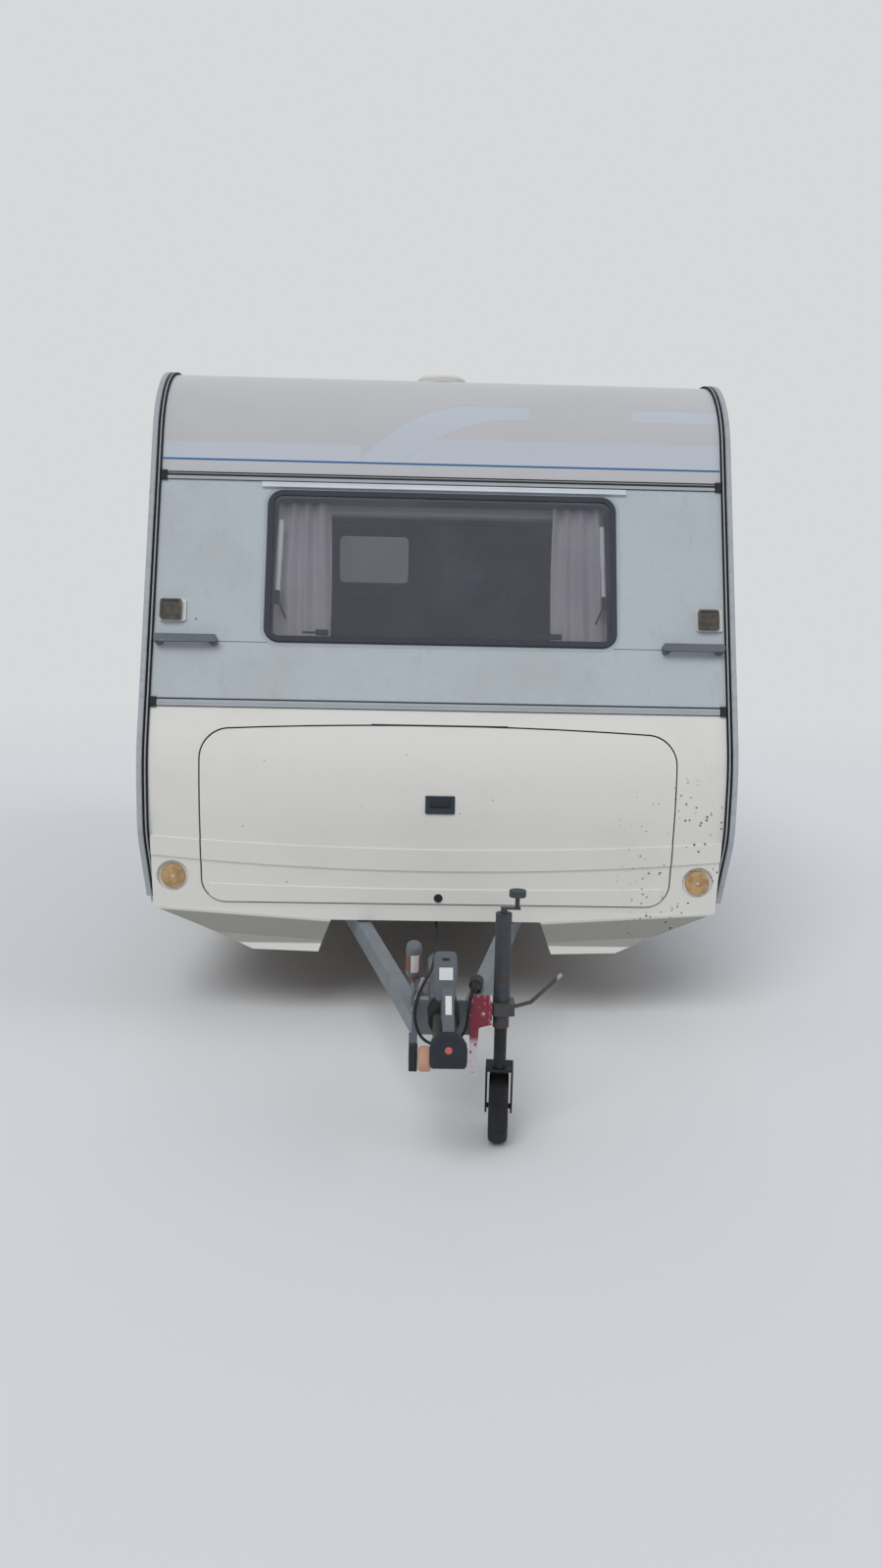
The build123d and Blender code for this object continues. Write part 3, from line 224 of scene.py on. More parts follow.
def wallFinish():
    look = {"skin": tint(180, 187, 192), "grime": tint(156, 160, 160), "speck": tint(30, 31, 32),
            "stripe": tint(44, 98, 140), "clouds": 0.35, "streaks": 0.35, "mottling": 0.16, "specks": 0.8,
            "frontEndY": -1.2, "seamZ": 1.514, "seamHalf": 0.0016}
    finish = Finish("hammeredWall")
    front = finish.y < look["frontEndY"]
    streak = finish.ease(finish.noise(1.0, 4.0, 0.6, finish.stretch(26, 26, 1.1)), 0.56, 0.8)
    mottle = finish.ease(finish.noise(130, 3.0), 0.38, 0.62)
    seam = finish.line(finish.z, look["seamZ"], look["seamHalf"]) * front
    stripe = finish.line(finish.z, body["stripeZ"], body["stripeHalf"]) * (1.0 - front)
    color = dirty(finish, look["skin"], look["grime"], look["clouds"])
    color = finish.blend(streak * look["streaks"], color, look["grime"])
    color = finish.blend(mottle * look["mottling"], color, look["grime"])
    color = finish.blend(finish.specks(19, 0.085, 0.035) * look["specks"] * front, color, look["speck"])
    color = finish.blend(seam * 0.75, color, look["speck"])
    color = finish.blend(stripe, color, look["stripe"])
    grain = finish.noise(330, 2.0) * 0.7 + finish.noise(90, 2.0) * 0.5
    low = finish.bump(finish.noise(7, 2.0), 0.12, 0.01)
    return finish.set(color=color, rough=0.38 + 0.12 * finish.noise(9), gloss=0.45,
                      normal=finish.bump(grain, 0.5, 0.0014, low))


def capFinish():  # pale curved bands and a blue line on the cap
    look = {"skin": tint(186, 185, 187), "grime": tint(162, 165, 166), "pale": tint(188, 195, 206),
            "edge": tint(148, 153, 162), "blue": tint(40, 96, 142), "clouds": 0.3, "paleShare": 0.6,
            "edgeShare": 0.3, "edgeWide": (0.0018, 0.0016), "frontEndY": -0.9, "bandZ": 2.289,
            "rightZ": 2.321, "arcLow": (-0.145, 0.300, 2.244, 2.408),
            "arcHigh": (-0.328, 0.109, 2.239, 2.463), "gap": (0.344, 0.759)}
    finish = Finish("cappedFront")

    def arc(start, end, low, high):  # height of a rising curve that levels out at its end
        share = finish.add("ShaderNodeMapRange", {}, {"Value": finish.x, "From Min": start, "From Max": end})
        rest = 1.0 - share
        return low + (high - low) * (1.0 - rest * rest)
    top = arc(*look["arcHigh"])
    low = arc(*look["arcLow"])
    reach = finish.x > look["arcHigh"][0]
    lowReach = finish.x > look["arcLow"][0]
    gap = finish.band(finish.x, *look["gap"])
    swoosh = reach * (finish.z < top) * (1.0 - (finish.z < low) * lowReach)
    swoosh = swoosh * (1.0 - gap * (finish.z > look["rightZ"])) * (finish.z > body["stripeZ"])
    lower = lowReach * (finish.z < low) * finish.band(finish.z, body["stripeZ"], look["rightZ"])
    left = (1.0 - reach) * finish.band(finish.z, body["stripeZ"], look["bandZ"])
    ruled = finish.band(abs(finish.z - top), 0.0, look["edgeWide"][0]) * reach
    ruled = ruled | finish.band(abs(finish.z - low), 0.0, look["edgeWide"][1]) * lowReach
    ruled = ruled * (1.0 - gap)
    front = finish.y < look["frontEndY"]
    color = dirty(finish, look["skin"], look["grime"], look["clouds"])
    color = finish.blend((swoosh | lower | left) * look["paleShare"] * front, color, look["pale"])
    color = finish.blend(ruled * look["edgeShare"] * front, color, look["edge"])
    color = finish.blend(finish.line(finish.z, body["stripeZ"], body["stripeHalf"]), color, look["blue"])
    return finish.set(color=color, rough=0.32 + 0.1 * finish.noise(12), coat=0.25,
                      normal=finish.bump(finish.noise(260, 2.0), 0.12, 0.0008))


def mouldingFinish():  # painted shade in the recess, and splashed at the lower right
    look = {"skin": tint(219, 217, 211), "grime": tint(189, 185, 171), "speck": tint(38, 34, 28),
            "recessShade": tint(134, 134, 126), "dark": tint(24, 30, 40), "clouds": 0.22,
            "frontEndY": -1.3, "recessZ": (0.330, 0.4835), "recessSoft": 0.004, "recessIn": 0.054,
            "splashX": (0.62, 0.95), "splashZ": (1.15, 0.8), "hingeZ": (1.2085, 1.2155),
            "hingeHalf": 0.262, "pullHalf": (0.057, 0.0355), "lockRadius": 0.0172}
    finish = Finish("creamMoulding")
    front = finish.y < look["frontEndY"]
    # painted shade: the sunken face above the lip is coloured darker, as if in shadow
    recessShadeMask = finish.band(finish.z, *look["recessZ"], look["recessSoft"])
    recessShadeMask = recessShadeMask * (finish.y > body["bulgeY"] + look["recessIn"]) * front
    splash = finish.ease(finish.x, *look["splashX"]) * finish.ease(finish.z, *look["splashZ"]) * front
    grit = finish.specks(48, 0.27, 0.50) * finish.ease(finish.noise(6.0, 3.0), 0.42, 0.52)
    across = finish.x - lid["lock"][0]
    upward = finish.z - lid["lock"][1]
    lock = (across * across + upward * upward) < look["lockRadius"] ** 2
    pull = abs(finish.x - lid["pull"][0]) < look["pullHalf"][0]
    pull = pull * (abs(finish.z - lid["pull"][1]) < look["pullHalf"][1])
    hinge = finish.band(finish.z, *look["hingeZ"]) * (abs(finish.x) < look["hingeHalf"])
    color = dirty(finish, look["skin"], look["grime"], look["clouds"])
    color = finish.blend(recessShadeMask * 0.85, color, look["recessShade"])
    color = finish.blend(grit * splash * 0.95, color, look["speck"])
    color = finish.blend(finish.specks(24, 0.07, 0.03) * 0.7 * front, color, look["speck"])
    color = finish.blend((pull | lock | hinge) * front, color, look["dark"])
    low = finish.bump(finish.noise(3.0, 1.0), 0.08, 0.01)
    return finish.set(color=color, rough=0.27 + 0.14 * finish.noise(14, 4.0), coat=0.3, coatRough=0.18,
                      normal=finish.bump(finish.noise(420, 1.0), 0.06, 0.0006, low))


def plainFinish(name, color, rough, metal=0.0, grain=0.15, grainScale=180.0, wear=None, wearShare=0.25):
    finish = Finish(name)
    cloud = finish.ease(finish.noise(6.0, 5.0), 0.3, 0.72) * 0.35
    shade = finish.blend(cloud, color, darker(color, 0.78))
    if wear:
        rub = finish.ease(finish.noise(38, 6.0, 0.7), 1.0 - wearShare - 0.06, 1.0 - wearShare)
        shade = finish.blend(rub, shade, wear)
    return finish.set(color=shade, rough=rough + 0.12 * (finish.noise(24, 3.0) - 0.5), metal=metal,
                      normal=finish.bump(finish.noise(grainScale, 2.0), grain, 0.0006))


def zincFinish(name, rust=0.0, dark=1.0, soil=tint(112, 110, 104), soilShare=0.5, metal=0.5):
    look = {"pale": tint(150, 158, 165), "deep": tint(114, 122, 129), "rustPale": tint(126, 72, 38),
            "rustDeep": tint(70, 38, 20), "rustFootZ": (0.60, 0.50), "rustSpread": 0.12}
    finish = Finish(name)
    plates = finish.add("ShaderNodeSeparateColor", {}, {0: finish.cells(60, "Color")}, "Red")
    color = finish.blend(plates * 0.5 + 0.5 * finish.noise(9, 5.0), darker(look["deep"], dark),
                         darker(look["pale"], dark))
    color = finish.blend(finish.ease(finish.noise(14, 6.0), 0.52, 0.75) * soilShare, color, soil)
    if rust:
        spread = rust * look["rustSpread"]
        foot = finish.ease(finish.z, *look["rustFootZ"]) * look["rustSpread"]
        patch = finish.ease(finish.noise(17, 7.0, 0.65) + foot, 0.74 - spread, 0.82 - spread)
        rusty = finish.blend(finish.noise(80, 3.0), look["rustDeep"], look["rustPale"])
        color = finish.blend(patch, color, rusty)
    return finish.set(color=color, metal=metal, rough=0.42 + 0.25 * plates,
                      normal=finish.bump(finish.noise(150, 4.0), 0.25, 0.0008))


def railFinish():  # metal with two dark inserts
    look = {"metal": tint(178, 183, 187), "worn": tint(136, 140, 143), "insert": tint(12, 14, 18),
            "inserts": ((1.1032, 1.1142), (1.1195, 1.1292))}
    finish = Finish("railMetal")
    across = abs(finish.x)
    dark = finish.band(across, *look["inserts"][0]) | finish.band(across, *look["inserts"][1])
    worn = finish.ease(finish.noise(40, 5.0), 0.45, 0.8) * 0.4
    color = finish.blend(dark, finish.blend(worn, look["metal"], look["worn"]), look["insert"])
    return finish.set(color=color, metal=0.55 * (1.0 - dark), normal=finish.bump(1.0 - dark, 0.9, 0.0015),
                      rough=0.34 + 0.2 * finish.noise(30, 4.0) + 0.4 * dark)


def glassFinish():  # tinted and dusty, more so at the back
    look = {"clean": tint(96, 97, 108), "dusty": tint(116, 116, 126), "alpha": 0.32, "dustAlpha": 0.08,
            "rearAlpha": 0.20, "rearY": 2.5}
    finish = Finish("tintedPane")
    dust = finish.ease(finish.noise(3.0, 6.0, 0.6), 0.4, 0.85)
    rear = finish.y > look["rearY"]
    return finish.set(color=finish.blend(dust * 0.5, look["clean"], look["dusty"]), rough=0.05 + 0.06 * dust,
                      alpha=look["alpha"] + look["dustAlpha"] * dust + look["rearAlpha"] * rear, gloss=0.6)


def clothFinish(name, thread, back, scale):
    finish = Finish(name)
    weave = finish.waves("X", scale / 6.3, 0.6)
    weft = finish.waves("Z", scale / 6.3, 0.6)
    cloud = finish.ease(finish.noise(5, 4.0), 0.3, 0.75)
    color = finish.blend(cloud * 0.4 + 0.3 * weave, thread, back)
    return finish.set(color=color, rough=0.9, sheen=0.3, normal=finish.bump(weave + weft, 0.25, 0.0006))


def woodFinish(name, light, deep):
    finish = Finish(name)
    grain = finish.noise(1.0, 6.0, 0.6, finish.stretch(5, 5, 60))
    return finish.set(color=finish.blend(finish.ease(grain, 0.35, 0.7), light, deep), rough=0.55,
                      normal=finish.bump(grain, 0.1, 0.001))


def lensFinish(name, pale, deep, stain=0.0):
    finish = Finish(name)
    color = finish.blend(finish.ease(finish.noise(36, 5.0), 0.4, 0.68), pale, deep)
    if stain:
        spot = finish.ease(finish.noise(60, 5.0, 0.7), 0.6 - stain * 0.2, 0.66) * 0.85
        color = finish.blend(spot, color, tint(40, 32, 24))
    rings = finish.waves("Z", 55.0, 0.2)
    return finish.set(color=color, rough=0.25, coat=0.6, normal=finish.bump(rings, 0.3, 0.0008))


def dusty(finish, color, share):  # pale dust on rubber
    dust = finish.ease(finish.noise(12, 6.0, 0.65), 0.42, 0.75) * share
    return finish.blend(dust, color, tint(74, 71, 68))


def rubberFinish(name, color, dustShare):
    finish = Finish(name)
    return finish.set(color=dusty(finish, color, dustShare), rough=0.62 + 0.2 * finish.noise(20, 3.0),
                      normal=finish.bump(finish.noise(240, 3.0), 0.25, 0.0008))


def glowingStayFinish():  # polished rods with a painted glow that stands in for the sky light they catch behind the pane
    bright = tint(236, 239, 243)
    return Finish("glowingStay").set(color=bright, rough=0.2, metal=0.3, glow=bright, glowStrength=0.28)


def tyreFinish():  # rubber, with short cuts across the shoulders of the road wheels alone, coloured near-black as painted shade in the cuts
    look = {"rubber": tint(20, 20, 22), "cutShade": tint(8, 8, 9), "dust": 0.2, "axle": middleOf("tyre_left"),
            "cuts": 62.0, "cutWide": (0.72, 0.86), "shoulder": (0.286, 0.2995), "roadWheelsY": 0.0}
    finish = Finish("tyreRubber")
    along = finish.y - look["axle"].y
    upward = finish.z - look["axle"].z
    reach = (along * along + upward * upward) ** 0.5
    turn = finish.add("ShaderNodeMath", {"operation": "ARCTAN2"}, {0: upward, 1: along})
    wave = finish.add("ShaderNodeMath", {"operation": "SINE"}, {0: turn * look["cuts"]})
    shoulder = finish.ease(reach, *look["shoulder"]) * (finish.y > look["roadWheelsY"])
    cuts = finish.ease(wave, *look["cutWide"]) * shoulder
    # painted shade: the cuts are coloured darker than the rubber itself
    color = finish.blend(cuts, dusty(finish, look["rubber"], look["dust"]), look["cutShade"])
    return finish.set(color=color, rough=0.66 + 0.2 * finish.noise(20, 3.0),
                      normal=finish.bump(finish.noise(240, 3.0) * 0.3 - cuts, 0.6, 0.003))


def redFinish():  # worn paint on the clamp, and a steel lever with a pale tip
    look = {"deep": tint(108, 26, 44), "bright": tint(140, 44, 64), "bare": tint(206, 196, 204),
            "steelDeep": tint(40, 40, 42), "steelPale": tint(78, 76, 74), "tip": tint(150, 160, 162),
            "footZ": (0.375, 0.345), "edgeX": (0.138, 0.147), "leverX": 0.1503, "tipX": (0.350, 0.358)}
    finish = Finish("wornRed")
    chips = finish.ease(finish.noise(70, 6.0, 0.7), 0.62, 0.66)
    foot = finish.ease(finish.z, *look["footZ"]) * finish.ease(finish.noise(55, 5.0, 0.7), 0.34, 0.44)
    edge = finish.ease(finish.x, *look["edgeX"]) * finish.ease(finish.noise(60, 4.0), 0.48, 0.55)
    worn = chips | foot | edge
    lever = finish.x > look["leverX"]
    tip = lever * finish.ease(finish.x, *look["tipX"])
    paint = finish.blend(finish.noise(8, 3.0), look["deep"], look["bright"])
    steel = finish.blend(finish.noise(40, 5.0), look["steelDeep"], look["steelPale"])
    color = finish.blend(lever, finish.blend(worn, paint, look["bare"]), steel)
    return finish.set(color=finish.blend(tip, color, look["tip"]), rough=0.42 + 0.2 * chips,
                      normal=finish.bump(worn * (1.0 - lever), 0.4, -0.0006))


def floorFinish():  # fades out into the backdrop
    look = {"color": tint(222, 223, 224), "fadeFrom": 5.0, "fadeTo": 13.0}
    finish = Finish("studioFloor")
    reach = (finish.x * finish.x + finish.y * finish.y) ** 0.5
    return finish.set(color=look["color"], rough=0.85, gloss=0.1,
                      alpha=1.0 - finish.ease(reach, look["fadeFrom"], look["fadeTo"]))


finishes = {
    "wall": wallFinish(),
    "cap": capFinish(),
    "moulding": mouldingFinish(),
    "rail": railFinish(),
    "pane": glassFinish(),
    "bright": plainFinish("brightTrim", tint(178, 183, 188), 0.34, 0.6, 0.1, 90.0),
    "paleTrim": plainFinish("paleTrim", tint(212, 217, 222), 0.4, 0.2, 0.06, 60.0),
    # the stays' finish carries a painted glow
    "stay": glowingStayFinish(),
    "roofSkin": plainFinish("roofSkin", tint(206, 206, 202), 0.5, 0.0, 0.15),
    "seal": plainFinish("darkSeal", tint(54, 58, 64), 0.55, 0.0, 0.2),
    "sealant": plainFinish("oldSealant", tint(170, 177, 184), 0.7, 0.0, 0.4, 120.0),
    "blackPlastic": plainFinish("blackPlastic", tint(24, 26, 29), 0.45, 0.0, 0.25, 300.0),
    "bluePlastic": plainFinish("pullPlastic", tint(38, 46, 58), 0.4, 0.0, 0.2, 260.0),
    "greyPlastic": plainFinish("greyPlastic", tint(98, 104, 110), 0.5, grain=0.25, grainScale=260.0,
                               wear=tint(134, 138, 140), wearShare=0.3),
    "hitchGrey": plainFinish("hitchGrey", tint(92, 98, 103), 0.5, 0.1, 0.3, 160.0,
                             wear=tint(124, 128, 129), wearShare=0.26),
    "whitePlastic": plainFinish("whitePlastic", tint(210, 209, 202), 0.42, 0.0, 0.12),
    "label": plainFinish("bareLabel", tint(214, 210, 208), 0.5, 0.0, 0.1),
    "zinc": zincFinish("zincedSteel"),
    "dirtyZinc": zincFinish("dirtyZinc", 0.75, 0.27, tint(78, 72, 68), 0.62),
    "blackTube": zincFinish("blackTube", 0.12, 0.035, tint(34, 32, 34), 0.3, metal=0.1),
    "blackSteel": plainFinish("blackSteel", tint(34, 35, 36), 0.5, 0.2, 0.3, 140.0, wear=tint(92, 80, 70)),
    "red": redFinish(),
    "grip": plainFinish("fadedGrip", tint(124, 78, 56), 0.6, grain=0.3, grainScale=200.0,
                        wear=tint(84, 60, 50), wearShare=0.35),
    "padOrange": plainFinish("padOrange", tint(190, 146, 124), 0.6, grain=0.3, grainScale=120.0,
                             wear=tint(146, 112, 96), wearShare=0.3),
    "rubber": rubberFinish("darkRubber", tint(22, 23, 25), 0.22),
    "capRubber": rubberFinish("softCapRubber", tint(36, 41, 48), 0.15),
    "tyre": tyreFinish(),
    "rim": plainFinish("wheelSilver", tint(186, 188, 190), 0.36, 0.6, 0.1, 120.0),
    "amberAged": lensFinish("agedAmber", tint(182, 148, 98), tint(152, 118, 72)),
    "brownLens": lensFinish("brownLens", tint(84, 76, 68), tint(58, 54, 50), 0.6),
    "redLens": lensFinish("redLens", tint(150, 20, 18), tint(110, 12, 12)),
    "orangeLens": lensFinish("orangeLens", tint(206, 108, 30), tint(176, 84, 20)),
    "whiteLens": lensFinish("whiteLens", tint(206, 206, 208), tint(178, 180, 184)),
    "dot": plainFinish("redDot", tint(200, 96, 92), 0.4),
    "board": woodFinish("plyBoard", tint(150, 122, 88), tint(118, 92, 62)),
    "cabinet": woodFinish("cabinetFoil", tint(164, 132, 96), tint(140, 106, 72)),
    "curtain": clothFinish("curtainCloth", tint(240, 234, 240), tint(214, 206, 214), 1600.0),
    "upholstery": clothFinish("benchCloth", tint(120, 116, 118), tint(92, 92, 104), 700.0),
}
print("finishes made", len(finishes))

# The finish of each node, apart from the steadies' legs, which are zinc
nodeFinish = {
    "floor": "board", "side_wall_left": "wall", "side_wall_right": "wall", "roof": "roofSkin",
    "front_cap": "cap", "front_wall": "wall", "front_lower_panel": "moulding", "inner_boards": "board",
    "rear_wall": "wall", "rear_lower_panel": "moulding", "corner_rails": "rail", "front_trims": "bright",
    "window_frames": "seal",
    "window_panes": "pane", "gas_locker_lid": "moulding", "door": "wall", "door_fittings": "seal",
    "door_window_pane": "pane", "service_hatch": "whitePlastic", "roof_fittings": "whitePlastic",
    "skylight_lid": "whitePlastic", "grab_handles": "greyPlastic", "marker_lamps": "whitePlastic",
    "round_lamps": "amberAged", "rear_lamps": "redLens", "side_markers": "orangeLens",
    "side_fittings": "whitePlastic", "side_hinges": "bright", "wheel_boxes": "blackSteel",
    "wheel_arch_trims": "whitePlastic", "drawbar_left": "zinc", "drawbar_right": "zinc",
    "chassis_members": "zinc", "floor_bearers": "board", "steady_brackets": "zinc", "axle": "zinc",
    "overrun_unit": "hitchGrey", "overrun_gaiter": "rubber", "coupling_head": "blackSteel",
    "coupling_fittings": "hitchGrey", "hand_brake": "grip", "jockey_clamp": "red",
    "jockey_outer_tube": "dirtyZinc", "jockey_inner_tube": "blackTube", "jockey_fork": "blackTube",
    "jockey_wheel": "tyre", "furniture": "cabinet", "cushions": "upholstery", "curtains": "curtain",
    "towing_lead": "rubber", "lead_gland": "rubber", "lead_plug": "blackPlastic", "tyre_left": "tyre",
    "tyre_right": "tyre", "rim_left": "rim", "rim_right": "rim",
}
for name, node in nodes.items():
    key = nodeFinish.get(name, "zinc")
    node.data.materials.clear()
    node.data.materials.append(finishes[key])


# Ways of making a mesh that many pieces share
def onFront(x, z, out=0.0):  # X across, Y up the slope, Z out of the front wall
    slope = body["rake"]
    y = body["bulgeY"] + (z - body["kneeZ"]) * math.tan(slope)
    turned = Matrix.Rotation(math.pi / 2 - slope, 4, "X")
    return Matrix.Translation((x, y, z)) @ turned @ Matrix.Translation((0, 0, out))


def onSide(sign, y, z, out=0.0):
    turned = Matrix.Rotation(sign * math.pi / 2, 4, "Z") @ Matrix.Rotation(math.pi / 2, 4, "X")
    return Matrix.Translation((sign * body["wallX"], y, z)) @ turned @ Matrix.Translation((0, 0, out))


def onRear(x, z, out=0.0):
    turned = Matrix.Rotation(math.pi, 4, "Z") @ Matrix.Rotation(math.pi / 2, 4, "X")
    return Matrix.Translation((x, body["rearY"], z)) @ turned @ Matrix.Translation((0, 0, out))


def facing(x, y, z):  # X across, Y up, Z towards the front
    return Matrix.Translation((x, y, z)) @ Matrix.Rotation(math.pi / 2, 4, "X")


def around(at, number, start=0.0):  # the same place, turned about Z in equal steps
    return [at @ Matrix.Rotation(2 * math.pi * step / number + start, 4, "Z") for step in range(number)]


def mirrored(half):  # an outline that is alike on both sides, from its right half
    return half + [(-u, v) for u, v in reversed(half)]


def addBlock(mesh, at, size, center=(0, 0, 0), bevel=0.0, segments=2):
    matrix = at @ Matrix.Translation(center) @ Matrix.Diagonal((*size, 1.0))
    made = bmesh.ops.create_cube(mesh, size=1.0, matrix=matrix)
    if bevel:
        edges = list({edge for vert in made["verts"] for edge in vert.link_edges})
        bmesh.ops.bevel(mesh, geom=edges, offset=bevel, offset_type="OFFSET", segments=segments, profile=0.5,
                        affect="EDGES", material=-1)


def addRod(mesh, radius, start, end, segments=24, at=Matrix.Identity(4)):
    start = at @ Vector(start)
    end = at @ Vector(end)
    run = end - start
    matrix = Matrix.Translation((start + end) / 2) @ run.to_track_quat("Z", "Y").to_matrix().to_4x4()
    bmesh.ops.create_cone(mesh, cap_ends=True, segments=segments, radius1=radius, radius2=radius,
                          depth=run.length, matrix=matrix)


def addLathe(mesh, at, outline, segments=48, closed=False):  # outline of (radius, height) about Z
    verts = [mesh.verts.new(at @ Vector((radius, 0, height))) for radius, height in outline]
    pairs = list(zip(verts, verts[1:])) + ([(verts[-1], verts[0])] if closed else [])
    edges = [mesh.edges.new(pair) for pair in pairs]
    bmesh.ops.spin(mesh, geom=verts + edges, cent=at.translation, axis=at.to_3x3() @ Vector((0, 0, 1)),
                   angle=2 * math.pi, steps=segments, use_merge=True)
    bmesh.ops.remove_doubles(mesh, verts=mesh.verts[:], dist=0.00001)


def addPrism(mesh, at, outline, depth):  # a flat outline of (u, v), pushed along Z
    face = mesh.faces.new([mesh.verts.new(at @ Vector((u, v, 0))) for u, v in outline])
    made = bmesh.ops.extrude_face_region(mesh, geom=[face])
    top = [item for item in made["geom"] if isinstance(item, bmesh.types.BMVert)]
    bmesh.ops.translate(mesh, verts=top, vec=at.to_3x3() @ Vector((0, 0, depth)))


def softRectangle(width, height, radius, steps=6):
    points = []
    for turn in range(4):
        right = 1 if turn in (0, 3) else -1
        up = 1 if turn in (0, 1) else -1
        for step in range(steps + 1):
            angle = math.radians(90 * (turn + step / steps))
            points.append((right * (width / 2 - radius) + radius * math.cos(angle),
                           up * (height / 2 - radius) + radius * math.sin(angle)))
    return points


def addSkin(mesh, at, rings, closed=False):  # rings of (outline, height), each pulled out of the one before
    places = [[at @ Vector((u, v, height)) for u, v in points] for points, height in rings]
    verts = [mesh.verts.new(place) for place in places[0]]
    loop = [mesh.edges.new(pair) for pair in zip(verts, verts[1:] + verts[:1])]
    if not closed:
        bmesh.ops.contextual_create(mesh, geom=loop)
    for ring in places[1:] + (places[:1] if closed else []):
        made = bmesh.ops.extrude_edge_only(mesh, edges=loop)["geom"]
        fresh = {tuple(round(value, 7) for value in item.co): item for item in made
                 if isinstance(item, bmesh.types.BMVert)}
        verts = [fresh[tuple(round(value, 7) for value in vert.co)] for vert in verts]
        news = set(verts)
        loop = [item for item in made if isinstance(item, bmesh.types.BMEdge) and set(item.verts) <= news]
        for vert, place in zip(verts, ring):
            vert.co = place
    if not closed:
        bmesh.ops.contextual_create(mesh, geom=loop)


def addRing(mesh, at, outer, inner, depth, crown=0.0):  # a frame between two outlines of as many points
    middle = [((a[0] + b[0]) / 2, (a[1] + b[1]) / 2) for a, b in zip(outer, inner)]
    rings = [(outer, 0), (outer, depth), (middle, depth + crown), (inner, depth), (inner, 0)]
    addSkin(mesh, at, rings, closed=True)


def cutAway(mesh, place, normal):  # drops what lies beyond a plane, and closes the cut
    made = bmesh.ops.bisect_plane(mesh, geom=mesh.verts[:] + mesh.edges[:] + mesh.faces[:], plane_co=place,
                                  plane_no=normal, clear_outer=True)
    rim = [item for item in made["geom_cut"] if isinstance(item, bmesh.types.BMEdge)]
    bmesh.ops.contextual_create(mesh, geom=rim)


def addPatch(mesh, at, radius, low, high, start, sweep):  # a thin curved label on a round piece
    turn = at @ Matrix.Rotation(math.radians(start), 4, "Z")
    verts = [mesh.verts.new(turn @ Vector((radius, 0, height))) for height in (low, high)]
    edge = mesh.edges.new(verts)
    bmesh.ops.spin(mesh, geom=verts + [edge], cent=at.translation, axis=at.to_3x3() @ Vector((0, 0, 1)),
                   angle=math.radians(sweep), steps=12)
    bmesh.ops.solidify(mesh, geom=mesh.faces[:], thickness=-0.0005)


def finishPiece(name, mesh, finish, rides="caravan", replaces=(), smooth=32.0, bevel=0.0):
    bmesh.ops.remove_doubles(mesh, verts=mesh.verts[:], dist=0.00002)
    bmesh.ops.recalc_face_normals(mesh, faces=mesh.faces[:])
    data = bpy.data.meshes.new(name)
    mesh.to_mesh(data)
    mesh.free()
    data.materials.append(finishes[finish])
    data.polygons.foreach_set("use_smooth", [True] * len(data.polygons))
    data.set_sharp_from_angle(angle=math.radians(smooth))
    piece = bpy.data.objects.new(name, data)
    scene.collection.objects.link(piece)
    if bevel:
        edge = piece.modifiers.new("edge", "BEVEL")
        edge.width = bevel
        edge.segments = 2
        edge.limit_method = "ANGLE"
    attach(piece, rides)
    if replaces:
        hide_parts(*replaces)
    return piece


# Towing lead, with its far end in the plug parked on the drawbar
lead = {"diameter": 0.009, "length": 2.008, "ribs": 16}


def makeLead():
    route = [
        (0, 330, 440), (0, 262, 427), (3, 140, 418), (4, 12, 413), (0, -116, 413), (-3, -240, 421),
        (-6, -356, 441), (-11, -462, 478), (-15, -560, 505), (-21, -662, 514), (-29, -762, 510),
        (-42, -858, 514), (-61, -944, 513), (-82, -1018, 494), (-90, -1076, 446), (-68, -1106, 396),
        (-20, -1108, 376), (28, -1096, 379), (66, -1074, 404), (75, -1058, 452), (84, -1036, 508),
        (92, -970, 530), (99, -902, 489), (105, -854, 453.3), (110, -810, 453.3),
    ]
    points = [Vector((x / 1000, body["bulgeY"] + y / 1000, z / 1000)) for x, y, z in route]
    curve = bpy.data.curves.new("towingLead", "CURVE")
    curve.dimensions = "3D"
    curve.bevel_depth = lead["diameter"] / 2
    curve.bevel_resolution = 5
    curve.resolution_u = 8
    curve.use_fill_caps = True
    spline = curve.splines.new("NURBS")
    spline.points.add(len(points) - 1)
    for knot, point in zip(spline.points, points):
        knot.co = (*point, 1.0)
    spline.order_u = 3
    spline.use_endpoint_u = True
    curve.materials.append(finishes["rubber"])
    piece = bpy.data.objects.new("towingLead", curve)
    scene.collection.objects.link(piece)
    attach(piece, "caravan")
    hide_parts("towing_lead")
    low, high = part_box("lead_plug")
    end = high.y - low.y - 0.002
    aim = (points[-1] - points[-2]).normalized()
    at = Matrix.Translation(points[-1]) @ aim.to_track_quat("Z", "Y").to_matrix().to_4x4()
    mesh = bmesh.new()
    addLathe(mesh, at, [(0.0047, 0.0), (0.0075, 0.001), (0.0105, 0.018), (0.0135, 0.022), (0.0205, 0.026),
                        (0.0222, 0.032), (0.0222, 0.060), (0.0205, 0.062), (0.0205, 0.068), (0.0226, 0.070),
                        (0.0226, end - 0.002), (0.021, end), (0.0, end)], 40)
    for rib in around(at, lead["ribs"]):
        addBlock(mesh, rib, (0.0016, 0.003, 0.030), (0.0222, 0, 0.046), 0.0004, 1)
    plugPiece = finishPiece("leadPlug", mesh, "blackPlastic", replaces=("lead_plug",))


makeLead()
print("lead made")


# Trim bars over the joints of the front panels
trim = {"railWide": 0.042, "endWide": 0.025, "insertThick": 0.0010, "end": (0.024, 0.040, 0.0105),
        "endOut": 0.0123, "screw": 0.0045, "drip": (-0.711, 0.726, 2.122)}


